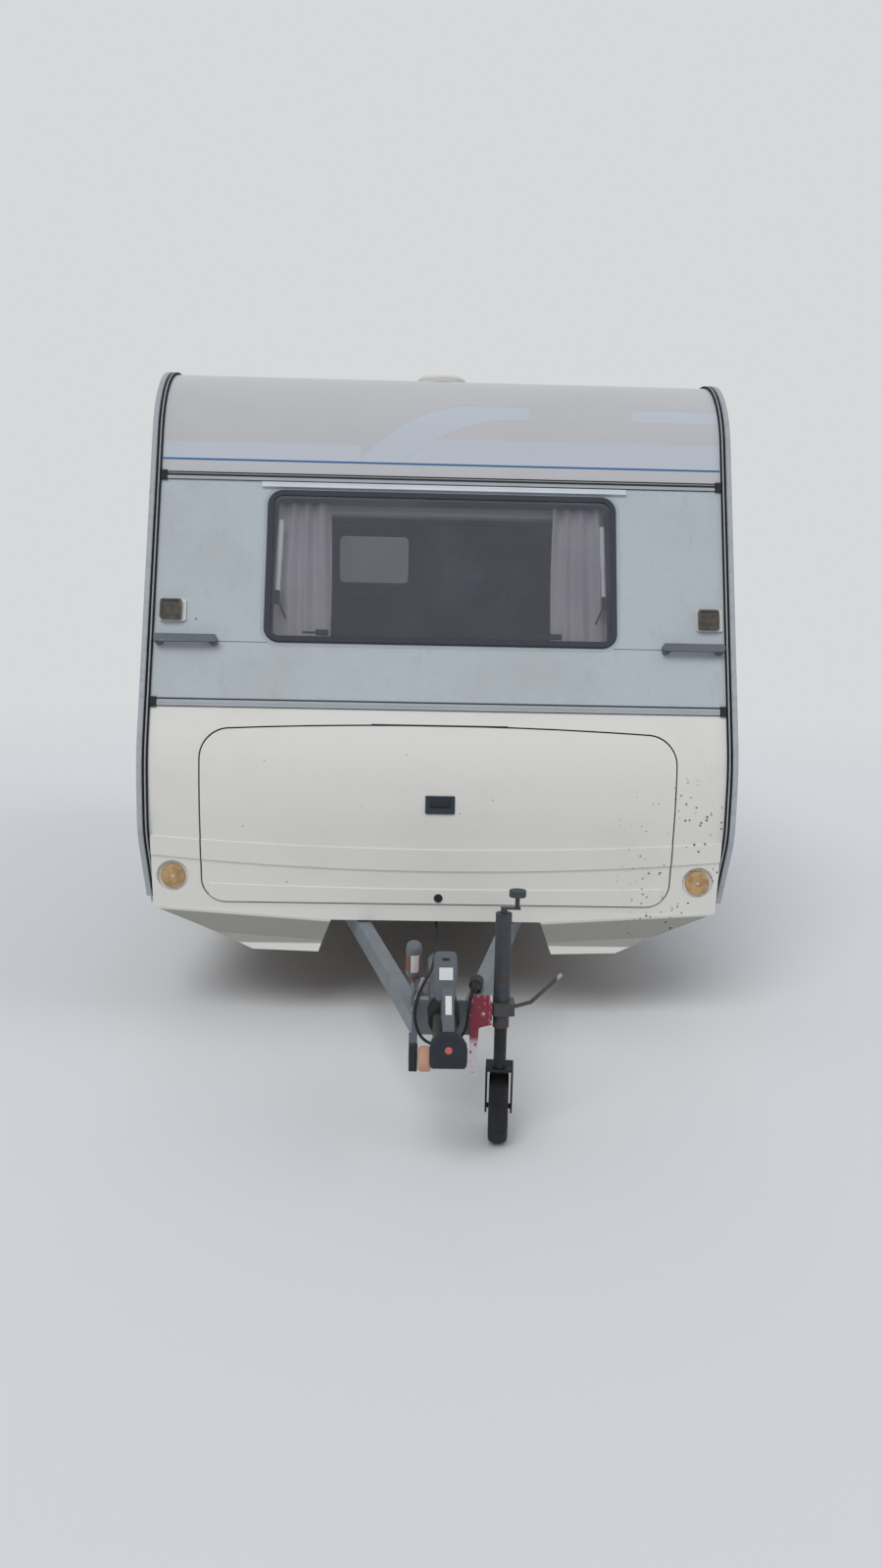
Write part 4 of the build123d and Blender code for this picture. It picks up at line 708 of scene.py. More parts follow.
def makeTrims():
    half = body["railX"] - trim["railWide"] - trim["endWide"]
    upper = [(-0.0170, 0.0), (-0.0170, 0.0024), (-0.0150, 0.0030), (-0.0140, 0.0056), (-0.0080, 0.0068),
             (-0.0025, 0.0060), (0.0002, 0.0028), (0.0075, 0.0028), (0.0080, 0.0050), (0.0106, 0.0050),
             (0.0112, 0.0030), (0.0170, 0.0030), (0.0170, 0.0)]
    lower = [(-0.0170, 0.0), (-0.0170, 0.0024), (-0.0150, 0.0030), (-0.0140, 0.0052), (-0.0080, 0.0066),
             (-0.0034, 0.0066), (-0.0026, 0.0058), (-0.0018, 0.0066), (0.0060, 0.0066), (0.0105, 0.0052),
             (0.0115, 0.0028), (0.0170, 0.0028), (0.0170, 0.0)]
    bars = (  # name, height, outline of (up, out), dark inserts as (up, wide)
        ("upperTrim", body["upperJointZ"], upper, ((0.0140, 0.0066), (0.0036, 0.0078), (-0.0160, 0.0020))),
        ("lowerTrim", body["lowerJointZ"], lower, ((0.0140, 0.0064), (-0.0160, 0.0020))),
    )
    for name, z, outline, inserts in bars:
        mesh = bmesh.new()
        start = onFront(-half, z) @ Matrix.Rotation(math.pi / 2, 4, "Y")
        addPrism(mesh, start, [(-out, up) for up, out in outline], 2 * half)
        finishPiece(name, mesh, "bright", replaces=("front_trims",))
        mesh = bmesh.new()
        for up, wide in inserts:
            addBlock(mesh, onFront(0, z), (2 * half, wide, trim["insertThick"]), (0, up, 0.0030), 0.0003, 1)
        finishPiece(name + "Insert", mesh, "blackPlastic")
        mesh = bmesh.new()
        for sign in (-1, 1):
            place = onFront(sign * (half + trim["endOut"]), z)
            addBlock(mesh, place, trim["end"], (0, 0, 0.0053), 0.0025)
            addRod(mesh, trim["screw"], (0, 0.008, 0.0105), (0, 0.008, 0.0118), 16, place)
        finishPiece(name + "Ends", mesh, "blackPlastic")


def makeDripRail():
    low, high, z = trim["drip"]
    outline = [(0.0, -0.010), (-0.0115, -0.010), (-0.0120, -0.006), (-0.0105, -0.003), (-0.0105, 0.002),
               (-0.0120, 0.005), (-0.0110, 0.010), (0.0, 0.010)]
    mesh = bmesh.new()
    addPrism(mesh, onFront(low, z) @ Matrix.Rotation(math.pi / 2, 4, "Y"), outline, high - low)
    finishPiece("dripRail", mesh, "paleTrim")


makeTrims()
makeDripRail()
print("trims made")


# Front window: an old bead of sealant, and the stays and latches inside the pane
window = {"at": onFront(0, body["windowZ"]), "width": 1.376, "height": 0.622}


def makeSealant():
    bead = {"wide": 0.013, "under": 0.004, "radius": 0.062, "outerRadius": 0.072, "thick": 0.0008}
    width, height = window["width"], window["height"]
    outer = softRectangle(width + 2 * bead["wide"], height + 2 * bead["wide"], bead["outerRadius"], 8)
    inner = softRectangle(width - bead["under"], height - bead["under"], bead["radius"], 8)
    mesh = bmesh.new()
    addRing(mesh, window["at"], outer, inner, bead["thick"])
    finishPiece("sealantBead", mesh, "sealant")


def makeStays():  # telescopic, one at each side
    stay = {"top": (0.633, 0.190), "middle": (0.635, 0.030), "bottom": (0.638, -0.100), "depth": -0.016,
            "thick": 0.0090, "thin": 0.0070}
    mesh = bmesh.new()
    for sign in (-1, 1):
        top, middle, bottom = [(sign * stay[end][0], stay[end][1], stay["depth"])
                               for end in ("top", "middle", "bottom")]
        addRod(mesh, stay["thick"], top, middle, at=window["at"])
        addRod(mesh, stay["thin"], middle, bottom, at=window["at"])
    # the stays glow as painted light, not as a lamp
    finishPiece("windowStays", mesh, "stay")


def makeLatches():  # one at the foot of each stay, and two along the sill
    latch = {"sillX": (-0.463, 0.447), "sillY": -0.262, "lever": 0.004, "stub": 0.009}
    at = window["at"]
    mesh = bmesh.new()
    for sign in (-1, 1):
        addBlock(mesh, at, (0.022, 0.056, 0.018), (sign * 0.641, -0.124, -0.016), 0.004)
        addRod(mesh, latch["lever"], (sign * 0.640, -0.13, -0.020), (sign * 0.606, -0.205, -0.020), 12, at)
    for x in latch["sillX"]:
        y = latch["sillY"]
        addBlock(mesh, at, (0.052, 0.022, 0.016), (x, y, -0.016), 0.004)
        addRod(mesh, latch["lever"], (x - 0.026, y, -0.018), (x - 0.075, y, -0.018), 12, at)
        addRod(mesh, latch["stub"], (x, y, -0.008), (x, y, -0.030), 20, at)
    finishPiece("windowLatches", mesh, "blackPlastic")


makeSealant()
makeStays()
makeLatches()
print("front window made")


# Curtains: gathered cloth behind the windows
def hangCurtain(name, at, center, cloth, number, rail, given=()):
    mesh = bmesh.new()
    bmesh.ops.create_grid(mesh, x_segments=cloth["grid"][0], y_segments=cloth["grid"][1], size=0.5)
    tall = cloth["high"] - cloth["low"]
    for vert in mesh.verts:
        across = vert.co.x
        up = vert.co.y + 0.5
        phase = 2 * math.pi * cloth["folds"] * (across + 0.018 * math.sin(9 * across + number * 2))
        depth = cloth["fold"] * (0.75 + 0.25 * up) * math.sin(phase + 0.5 * math.sin(2.2 * up + number))
        depth += 0.3 * cloth["fold"] * math.sin(17 * across + 3 * up)
        flare = 1.0 - 0.10 * up + 0.04 * math.sin(3.1 * up)
        vert.co = (center + across * cloth["width"] * flare, cloth["low"] + tall * up, cloth["depth"] + depth)
    wide = sum(face.calc_area() for face in mesh.faces) / tall  # of the cloth laid flat
    bmesh.ops.transform(mesh, matrix=at, verts=mesh.verts[:])
    piece = finishPiece(name, mesh, "curtain", replaces=given, smooth=180)
    thick = piece.modifiers.new("thick", "SOLIDIFY")
    thick.thickness = 0.0006
    thick.offset = 0
    print(name, "cloth is", round(wide, 3), "by", round(tall, 3))


def makeCurtains():
    cloth = {"width": 0.225, "low": -0.284, "high": 0.278, "depth": -0.0585, "fold": 0.0125, "folds": 3.4,
             "grid": (150, 30)}
    mesh = bmesh.new()
    addBlock(mesh, window["at"], (1.30, 0.039, 0.039), (0, 0.262, -0.0905), 0.006)
    finishPiece("blindCassette", mesh, "whitePlastic", replaces=("curtains",))
    for number, (name, center) in enumerate((("curtainLeft", -0.545), ("curtainRight", 0.545))):
        hangCurtain(name, window["at"], center, cloth, number, "blindCassette", ("curtains",))


def makeSideCurtains():  # a rail and two drawn curtains at each side window
    hanger = {"radius": 0.005, "down": 0.012, "past": 0.02, "depth": -0.052, "share": 0.20,
              "inset": 0.03, "overSill": 0.004, "underHead": 0.006}
    windows = {  # middle of the window, width, height
        "livingLeft": (onSide(-1, -0.900, 1.620), 0.760, 0.560),
        "sleepLeft": (onSide(-1, 1.830, 1.620), 0.900, 0.560),
        "livingRight": (onSide(1, -0.840, 1.620), 0.980, 0.560),
        "sleepRight": (onSide(1, 1.900, 1.620), 0.900, 0.560),
        "kitchen": (onSide(1, 0.640, 1.700), 0.560, 0.400),
    }
    for number, (name, (at, width, height)) in enumerate(windows.items()):
        half = width / 2 - hanger["inset"]
        end = half + hanger["past"]
        up = height / 2 - hanger["down"]
        mesh = bmesh.new()
        addRod(mesh, hanger["radius"], (-end, up, hanger["depth"]), (end, up, hanger["depth"]), 12, at)
        finishPiece(name + "Rail", mesh, "whitePlastic")
        cloth = {"width": hanger["share"] * width, "low": -height / 2 + hanger["overSill"],
                 "high": height / 2 - hanger["underHead"], "depth": hanger["depth"], "fold": 0.008,
                 "folds": 5.5, "grid": (80, 12)}
        for turn, word in ((-1, "First"), (1, "Second")):
            center = turn * (half - 0.5 * hanger["share"] * width)
            hangCurtain(name + word, at, center, cloth, number, name + "Rail")


makeCurtains()
makeSideCurtains()
print("curtains hung")


# Locker lid: sunken pull and lock
def makeLidPull():
    pull = {"size": (0.1134, 0.0704), "step": (0.092, 0.042), "hollow": (0.080, 0.028), "up": 0.003}
    width, height = pull["size"]
    outer = softRectangle(width, height, 0.007)
    rounded = softRectangle(width - 0.004, height - 0.004, 0.006)
    rim = softRectangle(width - 0.012, height - 0.012, 0.005)
    step = [(u, v + pull["up"]) for u, v in softRectangle(*pull["step"], 0.007)]
    hollow = [(u, v + pull["up"]) for u, v in softRectangle(*pull["hollow"], 0.004)]
    mesh = bmesh.new()
    addSkin(mesh, facing(lid["pull"][0], body["bulgeY"] - lid["pullOut"], lid["pull"][1]),
            [(outer, 0), (outer, 0.0016), (rounded, 0.0030), (rim, 0.0030), (step, 0.0012), (hollow, 0.0008),
             (hollow, -0.0060)], closed=True)
    finishPiece("lidPull", mesh, "bluePlastic", rides="gas_locker_lid")


def makeLidLock():
    at = facing(lid["lock"][0], body["bulgeY"] + lid["lockIn"], lid["lock"][1])
    mesh = bmesh.new()
    addLathe(mesh, at, [(0.0, 0.003), (0.0085, 0.003), (0.0088, 0.0), (0.0092, 0.004), (0.0150, 0.004),
                        (0.0172, 0.002), (0.0172, -0.002)], 32)
    addBlock(mesh, at, (0.0026, 0.009, 0.001), (0, 0, 0.0032))
    finishPiece("lidLock", mesh, "blackPlastic", rides="gas_locker_lid")


makeLidPull()
makeLidLock()
print("lid fittings made")


# Front lamps: a square one above and a round one below, at each side
lamps = {"squareX": body["railX"] - 0.107, "squareZ": 1.628, "roundX": body["railX"] - 0.124,
         "roundZ": 0.609, "ribs": 7, "ribStep": 0.009, "rings": 8, "firstRing": 0.008,
         "ringStep": 0.0046}


def makeSquareLamp(sign, side):
    at = onFront(sign * lamps["squareX"], lamps["squareZ"])
    mesh = bmesh.new()
    addPrism(mesh, at @ Matrix.Translation((0.006, 0, 0)), softRectangle(0.102, 0.088, 0.008), 0.010)
    finishPiece("lampBase" + side, mesh, "whitePlastic", replaces=("marker_lamps",),
                bevel=0.0015)
    mesh = bmesh.new()
    addRing(mesh, at, softRectangle(0.083, 0.081, 0.010), softRectangle(0.066, 0.064, 0.006), 0.026, 0.003)
    addBlock(mesh, at, (0.068, 0.066, 0.016), (0, 0, 0.015), 0.002)
    for step in range(lamps["ribs"]):
        x = (step - (lamps["ribs"] - 1) / 2) * lamps["ribStep"]
        addBlock(mesh, at, (0.005, 0.060, 0.004), (x, 0, 0.0235), 0.0012)
    finishPiece("lampLens" + side, mesh, "brownLens")


def makeRoundLamp(sign, side):
    low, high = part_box("round_lamps")
    depth = high.y - low.y
    at = facing(sign * lamps["roundX"], high.y, lamps["roundZ"])
    outline = [(0.0, depth + 0.001), (0.006, depth + 0.0008)]
    for ring in range(lamps["rings"]):
        radius = lamps["firstRing"] + ring * lamps["ringStep"]
        outline += [(radius, depth), (radius + lamps["ringStep"] / 2, depth - 0.0008)]
    outline += [(0.0445, depth - 0.001), (0.0468, depth - 0.004), (0.0468, 0.0)]
    mesh = bmesh.new()
    addLathe(mesh, at, outline)
    finishPiece("roundLens" + side, mesh, "amberAged", replaces=("round_lamps",), smooth=50)
    mesh = bmesh.new()
    mark = [(0.006, -0.003), (0.0, 0.007), (-0.006, -0.003)]
    addPrism(mesh, at @ Matrix.Translation((0, 0, depth + 0.0012)), mark, 0.0006)
    finishPiece("roundMark" + side, mesh, "label")


for sign, side in ((-1, "Left"), (1, "Right")):
    makeSquareLamp(sign, side)
    makeRoundLamp(sign, side)
print("lamps made")


# Hitch: gaiter, lever and handle, bare labels, soft cap, pads
hitch = {"ballY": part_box("coupling_head")[0].y + 0.043, "footZ": middleOf("overrun_gaiter").z + 0.0303,
         "handleFoot": (0.086, 0.546), "handleTop": (0.140, 0.670), "handleHalf": 0.034, "capX": 0.006}


def makeGaiter():
    gaiter = {"folds": 6, "start": 0.08}
    fold = ((0.0475, 0.0), (0.0480, 0.04), (0.0470, 0.075), (0.0385, 0.105), (0.0380, 0.125))
    low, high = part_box("overrun_gaiter")
    length = high.y - low.y
    outline = [(0.030, 0.0), (0.046, 0.001)]
    for step in range(gaiter["folds"]):
        start = length * (step + gaiter["start"]) / gaiter["folds"]
        outline += [(radius, start + length * share) for radius, share in fold]
    outline += [(0.044, length - 0.002), (0.030, length)]
    mesh = bmesh.new()
    addLathe(mesh, facing(0, high.y, middleOf("overrun_gaiter").z), outline, 56)
    finishPiece("gaiter", mesh, "rubber", replaces=("overrun_gaiter",), smooth=60)


def addProfile(name, points, half, center, bevel):  # a side outline (y, z), given a width across X
    sideways = Matrix(((0, 0, 1, 0), (1, 0, 0, 0), (0, 1, 0, 0), (0, 0, 0, 1)))
    outline = [(hitch["ballY"] + along, height) for along, height in points]
    mesh = bmesh.new()
    addPrism(mesh, sideways @ Matrix.Translation((0, 0, center - half)), outline, 2 * half)
    finishPiece(name, mesh, "hitchGrey", replaces=("coupling_fittings",), bevel=bevel)


def makeLever():
    foot = hitch["footZ"]
    neck = [(0.080, foot), (0.112, foot), (0.124, 0.556), (0.092, 0.556)]
    addProfile("handleNeck", neck, 0.012, 0.0, 0.002)
    lever = [(0.070, foot), (0.070, foot + 0.100), (0.062, foot + 0.111), (0.052, foot + 0.112),
             (-0.040, foot + 0.030), (-0.046, foot + 0.020), (-0.046, foot)]
    addProfile("couplingLever", lever, 0.016, hitch["capX"], 0.003)


def makeHandle():
    ballY = hitch["ballY"]
    half = hitch["handleHalf"]
    front = mirrored([(0.026, 0.530), (half, 0.610), (half, 0.652), (0.0325, 0.662), (0.028, 0.670),
                      (0.018, 0.676)])
    mesh = bmesh.new()
    addPrism(mesh, facing(0, ballY + 0.240, 0), front, 0.240)
    side = [hitch["handleFoot"], hitch["handleTop"], (0.170, 0.674), (0.176, 0.640), (0.124, 0.538)]
    for first, second in zip(side, side[1:] + side[:1]):
        run = Vector((0, second[0] - first[0], second[1] - first[1]))
        cutAway(mesh, Vector((0, ballY + first[0], first[1])), Vector((0, -run.z, run.y)))
    finishPiece("stabiliserHandle", mesh, "hitchGrey", replaces=("coupling_fittings",),
                bevel=0.006)


def makeLabels():  # a slot and bare labels, on the faces of handle and lever
    ballY = hitch["ballY"]
    y, z = hitch["handleFoot"]
    topY, topZ = hitch["handleTop"]
    slope = Matrix.Translation((0, ballY + y, z)) @ Matrix.Rotation(math.atan2(topZ - z, topY - y), 4, "X")
    mesh = bmesh.new()
    addBlock(mesh, slope, (0.022, 0.008, 0.002), (0, 0.122, 0.0), 0.0007, 1)
    addRod(mesh, 0.0045, (0.002, 0.022, -0.002), (0.002, 0.022, 0.001), 16, slope)
    finishPiece("handleSlot", mesh, "blackPlastic")
    mesh = bmesh.new()
    addBlock(mesh, slope, (0.040, 0.036, 0.001), (0.001, 0.080, 0.0003), 0.0003, 1)
    slant = (Matrix.Translation((hitch["capX"], ballY + 0.052, hitch["footZ"] + 0.112))
             @ Matrix.Rotation(math.atan2(0.082, 0.092), 4, "X"))
    addBlock(mesh, slant, (0.018, 0.060, 0.001), (0, -0.054, 0.0003), 0.0003, 1)
    finishPiece("bareLabels", mesh, "label")


def makeSoftCap():
    cap = {"z": 0.452, "dotUp": 0.004}
    face = facing(hitch["capX"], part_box("coupling_fittings")[0].y, cap["z"])
    shape = mirrored([(0.045, -0.0525), (0.0515, -0.046), (0.0535, -0.030), (0.0535, 0.004), (0.0500, 0.020),
                      (0.0400, 0.036), (0.0270, 0.0475), (0.0120, 0.0525)])
    rings = [(1.0, -0.0172), (1.0, -0.0060), (0.97, -0.0025), (0.90, -0.0004), (0.62, 0.0), (0.56, -0.0012),
             (0.50, -0.0012), (0.44, 0.0002), (0.30, 0.0012)]
    mesh = bmesh.new()
    addSkin(mesh, face, [([(u * share, v * share) for u, v in shape], height) for share, height in rings])
    finishPiece("softCap", mesh, "capRubber", replaces=("coupling_fittings",), smooth=50)
    mesh = bmesh.new()
    addLathe(mesh, face @ Matrix.Translation((0, cap["dotUp"], 0.001)),
             [(0.0105, -0.002), (0.0105, 0.0010), (0.009, 0.0022), (0.006, 0.0026), (0.0045, 0.0018),
              (0.0, 0.0016)], 32)
    finishPiece("capDot", mesh, "dot")


def makePads():
    knob = {"x": -0.0423, "z": 0.409, "armX": -0.0925, "armZ": 0.410, "arm": (0.0250, 0.030, 0.078)}
    at = (Matrix.Translation((knob["x"], hitch["ballY"] - 0.006, knob["z"]))
          @ Matrix.Rotation(-math.pi / 2, 4, "Y"))
    mesh = bmesh.new()
    addLathe(mesh, at, [(0.0, 0.0), (0.032, 0.0), (0.0350, 0.003), (0.0360, 0.008), (0.0360, 0.026),
                        (0.0340, 0.0320), (0.028, 0.0350), (0.012, 0.0360), (0.0, 0.0365)], 40)
    finishPiece("padKnob", mesh, "padOrange", replaces=("coupling_fittings",))
    mesh = bmesh.new()
    arm = Matrix.Translation((knob["armX"], hitch["ballY"] + 0.004, knob["armZ"]))
    addBlock(mesh, arm, knob["arm"], bevel=0.004)
    finishPiece("padArm", mesh, "blackSteel")


makeGaiter()
makeLever()
makeHandle()
makeLabels()
makeSoftCap()
makePads()


# Hand brake: lever on its pivot, grip with its collar, cap and bare label, spring strut
brake = {"x": -0.092, "y": body["bulgeY"] - 0.860, "z": 0.478, "lean": math.radians(25), "boltZ": 0.455,
         "plateZ": 0.4652, "headX": -0.0403, "strutStart": (-0.090, body["bulgeY"] - 0.985, 0.442),
         "strutEnd": (-0.060, body["bulgeY"] - 0.800, 0.482), "pinY": body["bulgeY"] - 0.806, "pinZ": 0.480}


def makeBrakeLever():
    x, y, z = brake["x"], brake["y"], brake["z"]
    base = Matrix.Translation((x, y, z)) @ Matrix.Rotation(brake["lean"], 4, "X")
    mesh = bmesh.new()
    addBlock(mesh, base, (0.012, 0.026, 0.050), (0, 0, 0.022), 0.002)
    addBlock(mesh, Matrix.Translation((x, y, brake["plateZ"])), (0.012, 0.060, 0.0697), bevel=0.002)
    addRod(mesh, 0.010, (x, y, brake["boltZ"]), (brake["headX"], y, brake["boltZ"]), 20)
    addRod(mesh, 0.013, (x - 0.008, y, z), (x + 0.008, y, z), 6)
    finishPiece("brakeArm", mesh, "zinc", replaces=("hand_brake",))
    mesh = bmesh.new()
    addLathe(mesh, base, [(0.0, 0.0455), (0.017, 0.0455), (0.0200, 0.048), (0.0205, 0.060), (0.0235, 0.064),
                          (0.0240, 0.068), (0.0240, 0.146), (0.0, 0.146)], 40)
    finishPiece("brakeGrip", mesh, "grip", replaces=("hand_brake",))
    rings = (  # name, outline of (radius, height)
        ("brakeCap", [(0.0205, 0.1450), (0.0245, 0.1455), (0.0245, 0.164), (0.0232, 0.172), (0.0185, 0.1780),
                      (0.0110, 0.1802), (0.0, 0.1806)]),
        ("brakeCollar", [(0.0205, 0.0600), (0.0242, 0.0602), (0.0246, 0.064), (0.0246, 0.074),
                         (0.0238, 0.078), (0.0205, 0.0780)]),
    )
    for name, outline in rings:
        mesh = bmesh.new()
        addLathe(mesh, base, outline, 40)
        finishPiece(name, mesh, "greyPlastic")
    mesh = bmesh.new()
    addPatch(mesh, base, 0.0246, 0.0790, 0.1500, -112, 62)
    finishPiece("gripLabel", mesh, "label")


def makeBrakeStrut():
    start = Vector(brake["strutStart"])
    end = Vector(brake["strutEnd"])
    mesh = bmesh.new()
    rods = ((0.009, 0.0, 0.80, 24), (0.0065, 0.78, 1.0, 20), (0.0105, 0.02, 0.05, 24))
    for radius, first, last, segments in rods:  # the shares of the run that each rod covers
        addRod(mesh, radius, start.lerp(end, first), start.lerp(end, last), segments)
    y, z = brake["pinY"], brake["pinZ"]
    addRod(mesh, 0.005, (end.x, y, z), (brake["headX"], y, z), 16)
    finishPiece("brakeStrut", mesh, "bright", replaces=("hand_brake",))


makeBrakeLever()
makeBrakeStrut()
print("hitch made")


# Road wheels: tyres with grooves, wheel bolts and centre caps
def makeRoadWheels():
    wheel = {"shoulder": 0.066, "radius": 0.307, "grooveRadius": 0.3005, "bolts": 5, "boltReach": 0.056,
             "face": 0.0305, "grooves": (-0.045, -0.016, 0.016, 0.045)}
    wall = [(0.1785, -0.074), (0.1800, -0.078), (0.1860, -0.0825), (0.2050, -0.0890), (0.2400, -0.0920),
            (0.2450, -0.0924), (0.2460, -0.0908), (0.2700, -0.0880), (0.2840, -0.0850), (0.2960, -0.0785),
            (0.3030, -0.0715), (0.3062, -wheel["shoulder"])]
    tread = []
    for groove in wheel["grooves"]:
        tread += [(wheel["radius"], groove - 0.0042), (wheel["grooveRadius"], groove - 0.0034),
                  (wheel["grooveRadius"], groove + 0.0034), (wheel["radius"], groove + 0.0042)]
    section = wall + tread + [(reach, -along) for reach, along in reversed(wall)]
    for sign, side in ((-1, "left"), (1, "right")):
        rides = "wheel_" + side
        at = Matrix.Translation(middleOf("tyre_" + side)) @ Matrix.Rotation(sign * math.pi / 2, 4, "Y")
        mesh = bmesh.new()
        addLathe(mesh, at, section, 96, closed=True)
        finishPiece(side + "Tyre", mesh, "tyre", rides=rides, replaces=("tyre_" + side,))
        mesh = bmesh.new()
        foot = Vector((wheel["boltReach"], 0, wheel["face"]))
        for turn in around(at, wheel["bolts"], math.pi / 2):
            addRod(mesh, 0.0125, foot, foot + Vector((0, 0, 0.004)), 24, turn)
            addRod(mesh, 0.0105, foot, foot + Vector((0, 0, 0.014)), 6, turn)
        finishPiece(side + "Bolts", mesh, "zinc", rides=rides, bevel=0.0006)
        mesh = bmesh.new()
        addLathe(mesh, at, [(0.0, 0.048), (0.024, 0.047), (0.0305, 0.043), (0.032, 0.038),
                            (0.032, wheel["face"]), (0.0, wheel["face"])], 40)
        finishPiece(side + "Cap", mesh, "greyPlastic", rides=rides)


def makeJockeyTyre():
    jockey = {"turn": math.radians(-5), "ribs": 6}
    at = (Matrix.Translation(middleOf("jockey_wheel")) @ Matrix.Rotation(jockey["turn"], 4, "Z")
          @ Matrix.Rotation(math.pi / 2, 4, "Y"))
    half = [(0.0125, 0.0218), (0.0700, 0.0218), (0.0745, 0.0235), (0.0760, 0.0300), (0.0790, 0.0308),
            (0.0960, 0.0308), (0.1020, 0.0300), (0.1080, 0.0270), (0.1125, 0.0200), (0.1142, 0.0120),
            (0.1148, 0.0)]
    mesh = bmesh.new()
    addLathe(mesh, at, half + [(reach, -along) for reach, along in reversed(half[:-1])], 72, closed=True)
    for rib in around(at, jockey["ribs"]):
        for sign in (-1, 1):
            addBlock(mesh, rib, (0.052, 0.004, 0.004), (0.047, 0, sign * 0.0236), 0.0008, 1)
    finishPiece("jockeyTyre", mesh, "tyre", rides="jockey_wheel", replaces=("jockey_wheel",))


makeRoadWheels()
makeJockeyTyre()
print("wheels made")


# Rear lamps: amber, red and clear fields on a white base
def makeRearLamps():
    low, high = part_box("rear_lamps")
    lamp = {"x": 0.968, "z": (low.z + high.z) / 2, "tall": high.z - low.z, "base": 0.010, "ribs": 9,
            "ribStep": 0.0135}
    wide = 2 * (high.x - lamp["x"])
    deep = high.y - body["rearY"] - lamp["base"]
    fields = (("orangeLens", "lamp_amber", 0.345), ("redLens", "lamp_red", 0.0),
              ("whiteLens", "lamp_white", -0.345))  # finish, slot, share of the width towards the edge
    for sign, side in ((-1, "Left"), (1, "Right")):
        at = onRear(sign * lamp["x"], lamp["z"])
        mesh = bmesh.new()
        addPrism(mesh, at, softRectangle(wide, lamp["tall"], 0.014), lamp["base"])
        finishPiece("rearBase" + side, mesh, "whitePlastic", replaces=("rear_lamps",),
                    bevel=0.002)
        for name, slot, share in fields:
            place = at @ Matrix.Translation((-sign * share * wide * 0.93, 0, lamp["base"]))
            mesh = bmesh.new()
            addPrism(mesh, place, softRectangle(wide * 0.306, lamp["tall"] - 0.018, 0.008), deep)
            for step in range(lamp["ribs"]):
                up = (step - (lamp["ribs"] - 1) / 2) * lamp["ribStep"]
                addBlock(mesh, place, (wide * 0.27, 0.006, 0.0016), (0, up, deep), 0.0006, 1)
            finishPiece(name + side, mesh, name, bevel=0.002)


makeRearLamps()
print("rear lamps made")


# Cushions: closed pads blown up a little, then held to a small growth
pad = {"shrink": 0.011, "edge": 0.030, "sideways": 0.011, "upward": 0.020, "pressure": 4.0, "frames": 20,
       "fill": 0.6}


def settled(piece):  # a mesh of the piece as its modifiers leave it
    return bpy.data.meshes.new_from_object(piece.evaluated_get(bpy.context.evaluated_depsgraph_get()))


def blowUp(piece, voxel, floorZ):
    grid = piece.modifiers.new("grid", "REMESH")
    grid.mode = "VOXEL"
    grid.voxel_size = voxel
    piece.data = settled(piece)
    piece.modifiers.clear()
    rest = [vert.co.copy() for vert in piece.data.vertices]
    swell = piece.modifiers.new("swell", "CLOTH")
    swell.settings.quality = 6
    swell.settings.use_pressure = True
    swell.settings.uniform_pressure_force = pad["pressure"]
    swell.settings.effector_weights.gravity = 0
    swell.point_cache.frame_end = pad["frames"]
    for step in range(1, pad["frames"] + 1):
        scene.frame_set(step)
    grown = settled(piece)
    piece.modifiers.clear()
    scene.frame_set(1)
    for vert, start in zip(grown.vertices, rest):
        move = vert.co - start
        flat = Vector((move.x, move.y, 0))
        if flat.length > pad["sideways"]:
            flat *= pad["sideways"] / flat.length
        vert.co = start + flat + Vector((0, 0, min(move.z, pad["upward"])))
        vert.co.z = max(vert.co.z, floorZ)
    piece.data = grown
    grown.polygons.foreach_set("use_smooth", [True] * len(grown.polygons))
    soft = piece.modifiers.new("soft", "SUBSURF")
    soft.levels = 1
    soft.render_levels = 1


def makeCushions():
    places = {  # lowest corner, highest corner, size of the mesh's cells
        "benchLeft": ((-1.102, -1.194, 0.8843), (-0.546, -0.442, 1.004), 0.012),
        "benchRight": ((0.546, -1.194, 0.8843), (1.102, -0.442, 1.004), 0.012),
        "mattress": ((-0.560, 1.258, 0.9243), (1.102, 2.704, 1.044), 0.020),
    }
    for name, (first, last, voxel) in places.items():
        first = Vector(first)
        last = Vector(last)
        size = last - first - Vector((2 * pad["shrink"], 2 * pad["shrink"], pad["shrink"]))
        center = (first + last) / 2 - Vector((0, 0, pad["shrink"] / 2))
        mesh = bmesh.new()
        addBlock(mesh, Matrix.Identity(4), size, center, pad["edge"], 4)
        piece = finishPiece(name, mesh, "upholstery", replaces=("cushions",), smooth=180)
        blowUp(piece, voxel, first.z)


makeCushions()
print("cushions made")


# Fittings of the sides, the roof and the back
vent = {"y": -0.060, "low": (0.760, 0.240), "high": (1.240, 0.150), "slatStep": 0.0165, "tilt": 30,
        "barX": 0.106, "catchX": 0.11, "catchZ": 0.868, "out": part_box("side_fittings")[1].x - body["wallX"]}


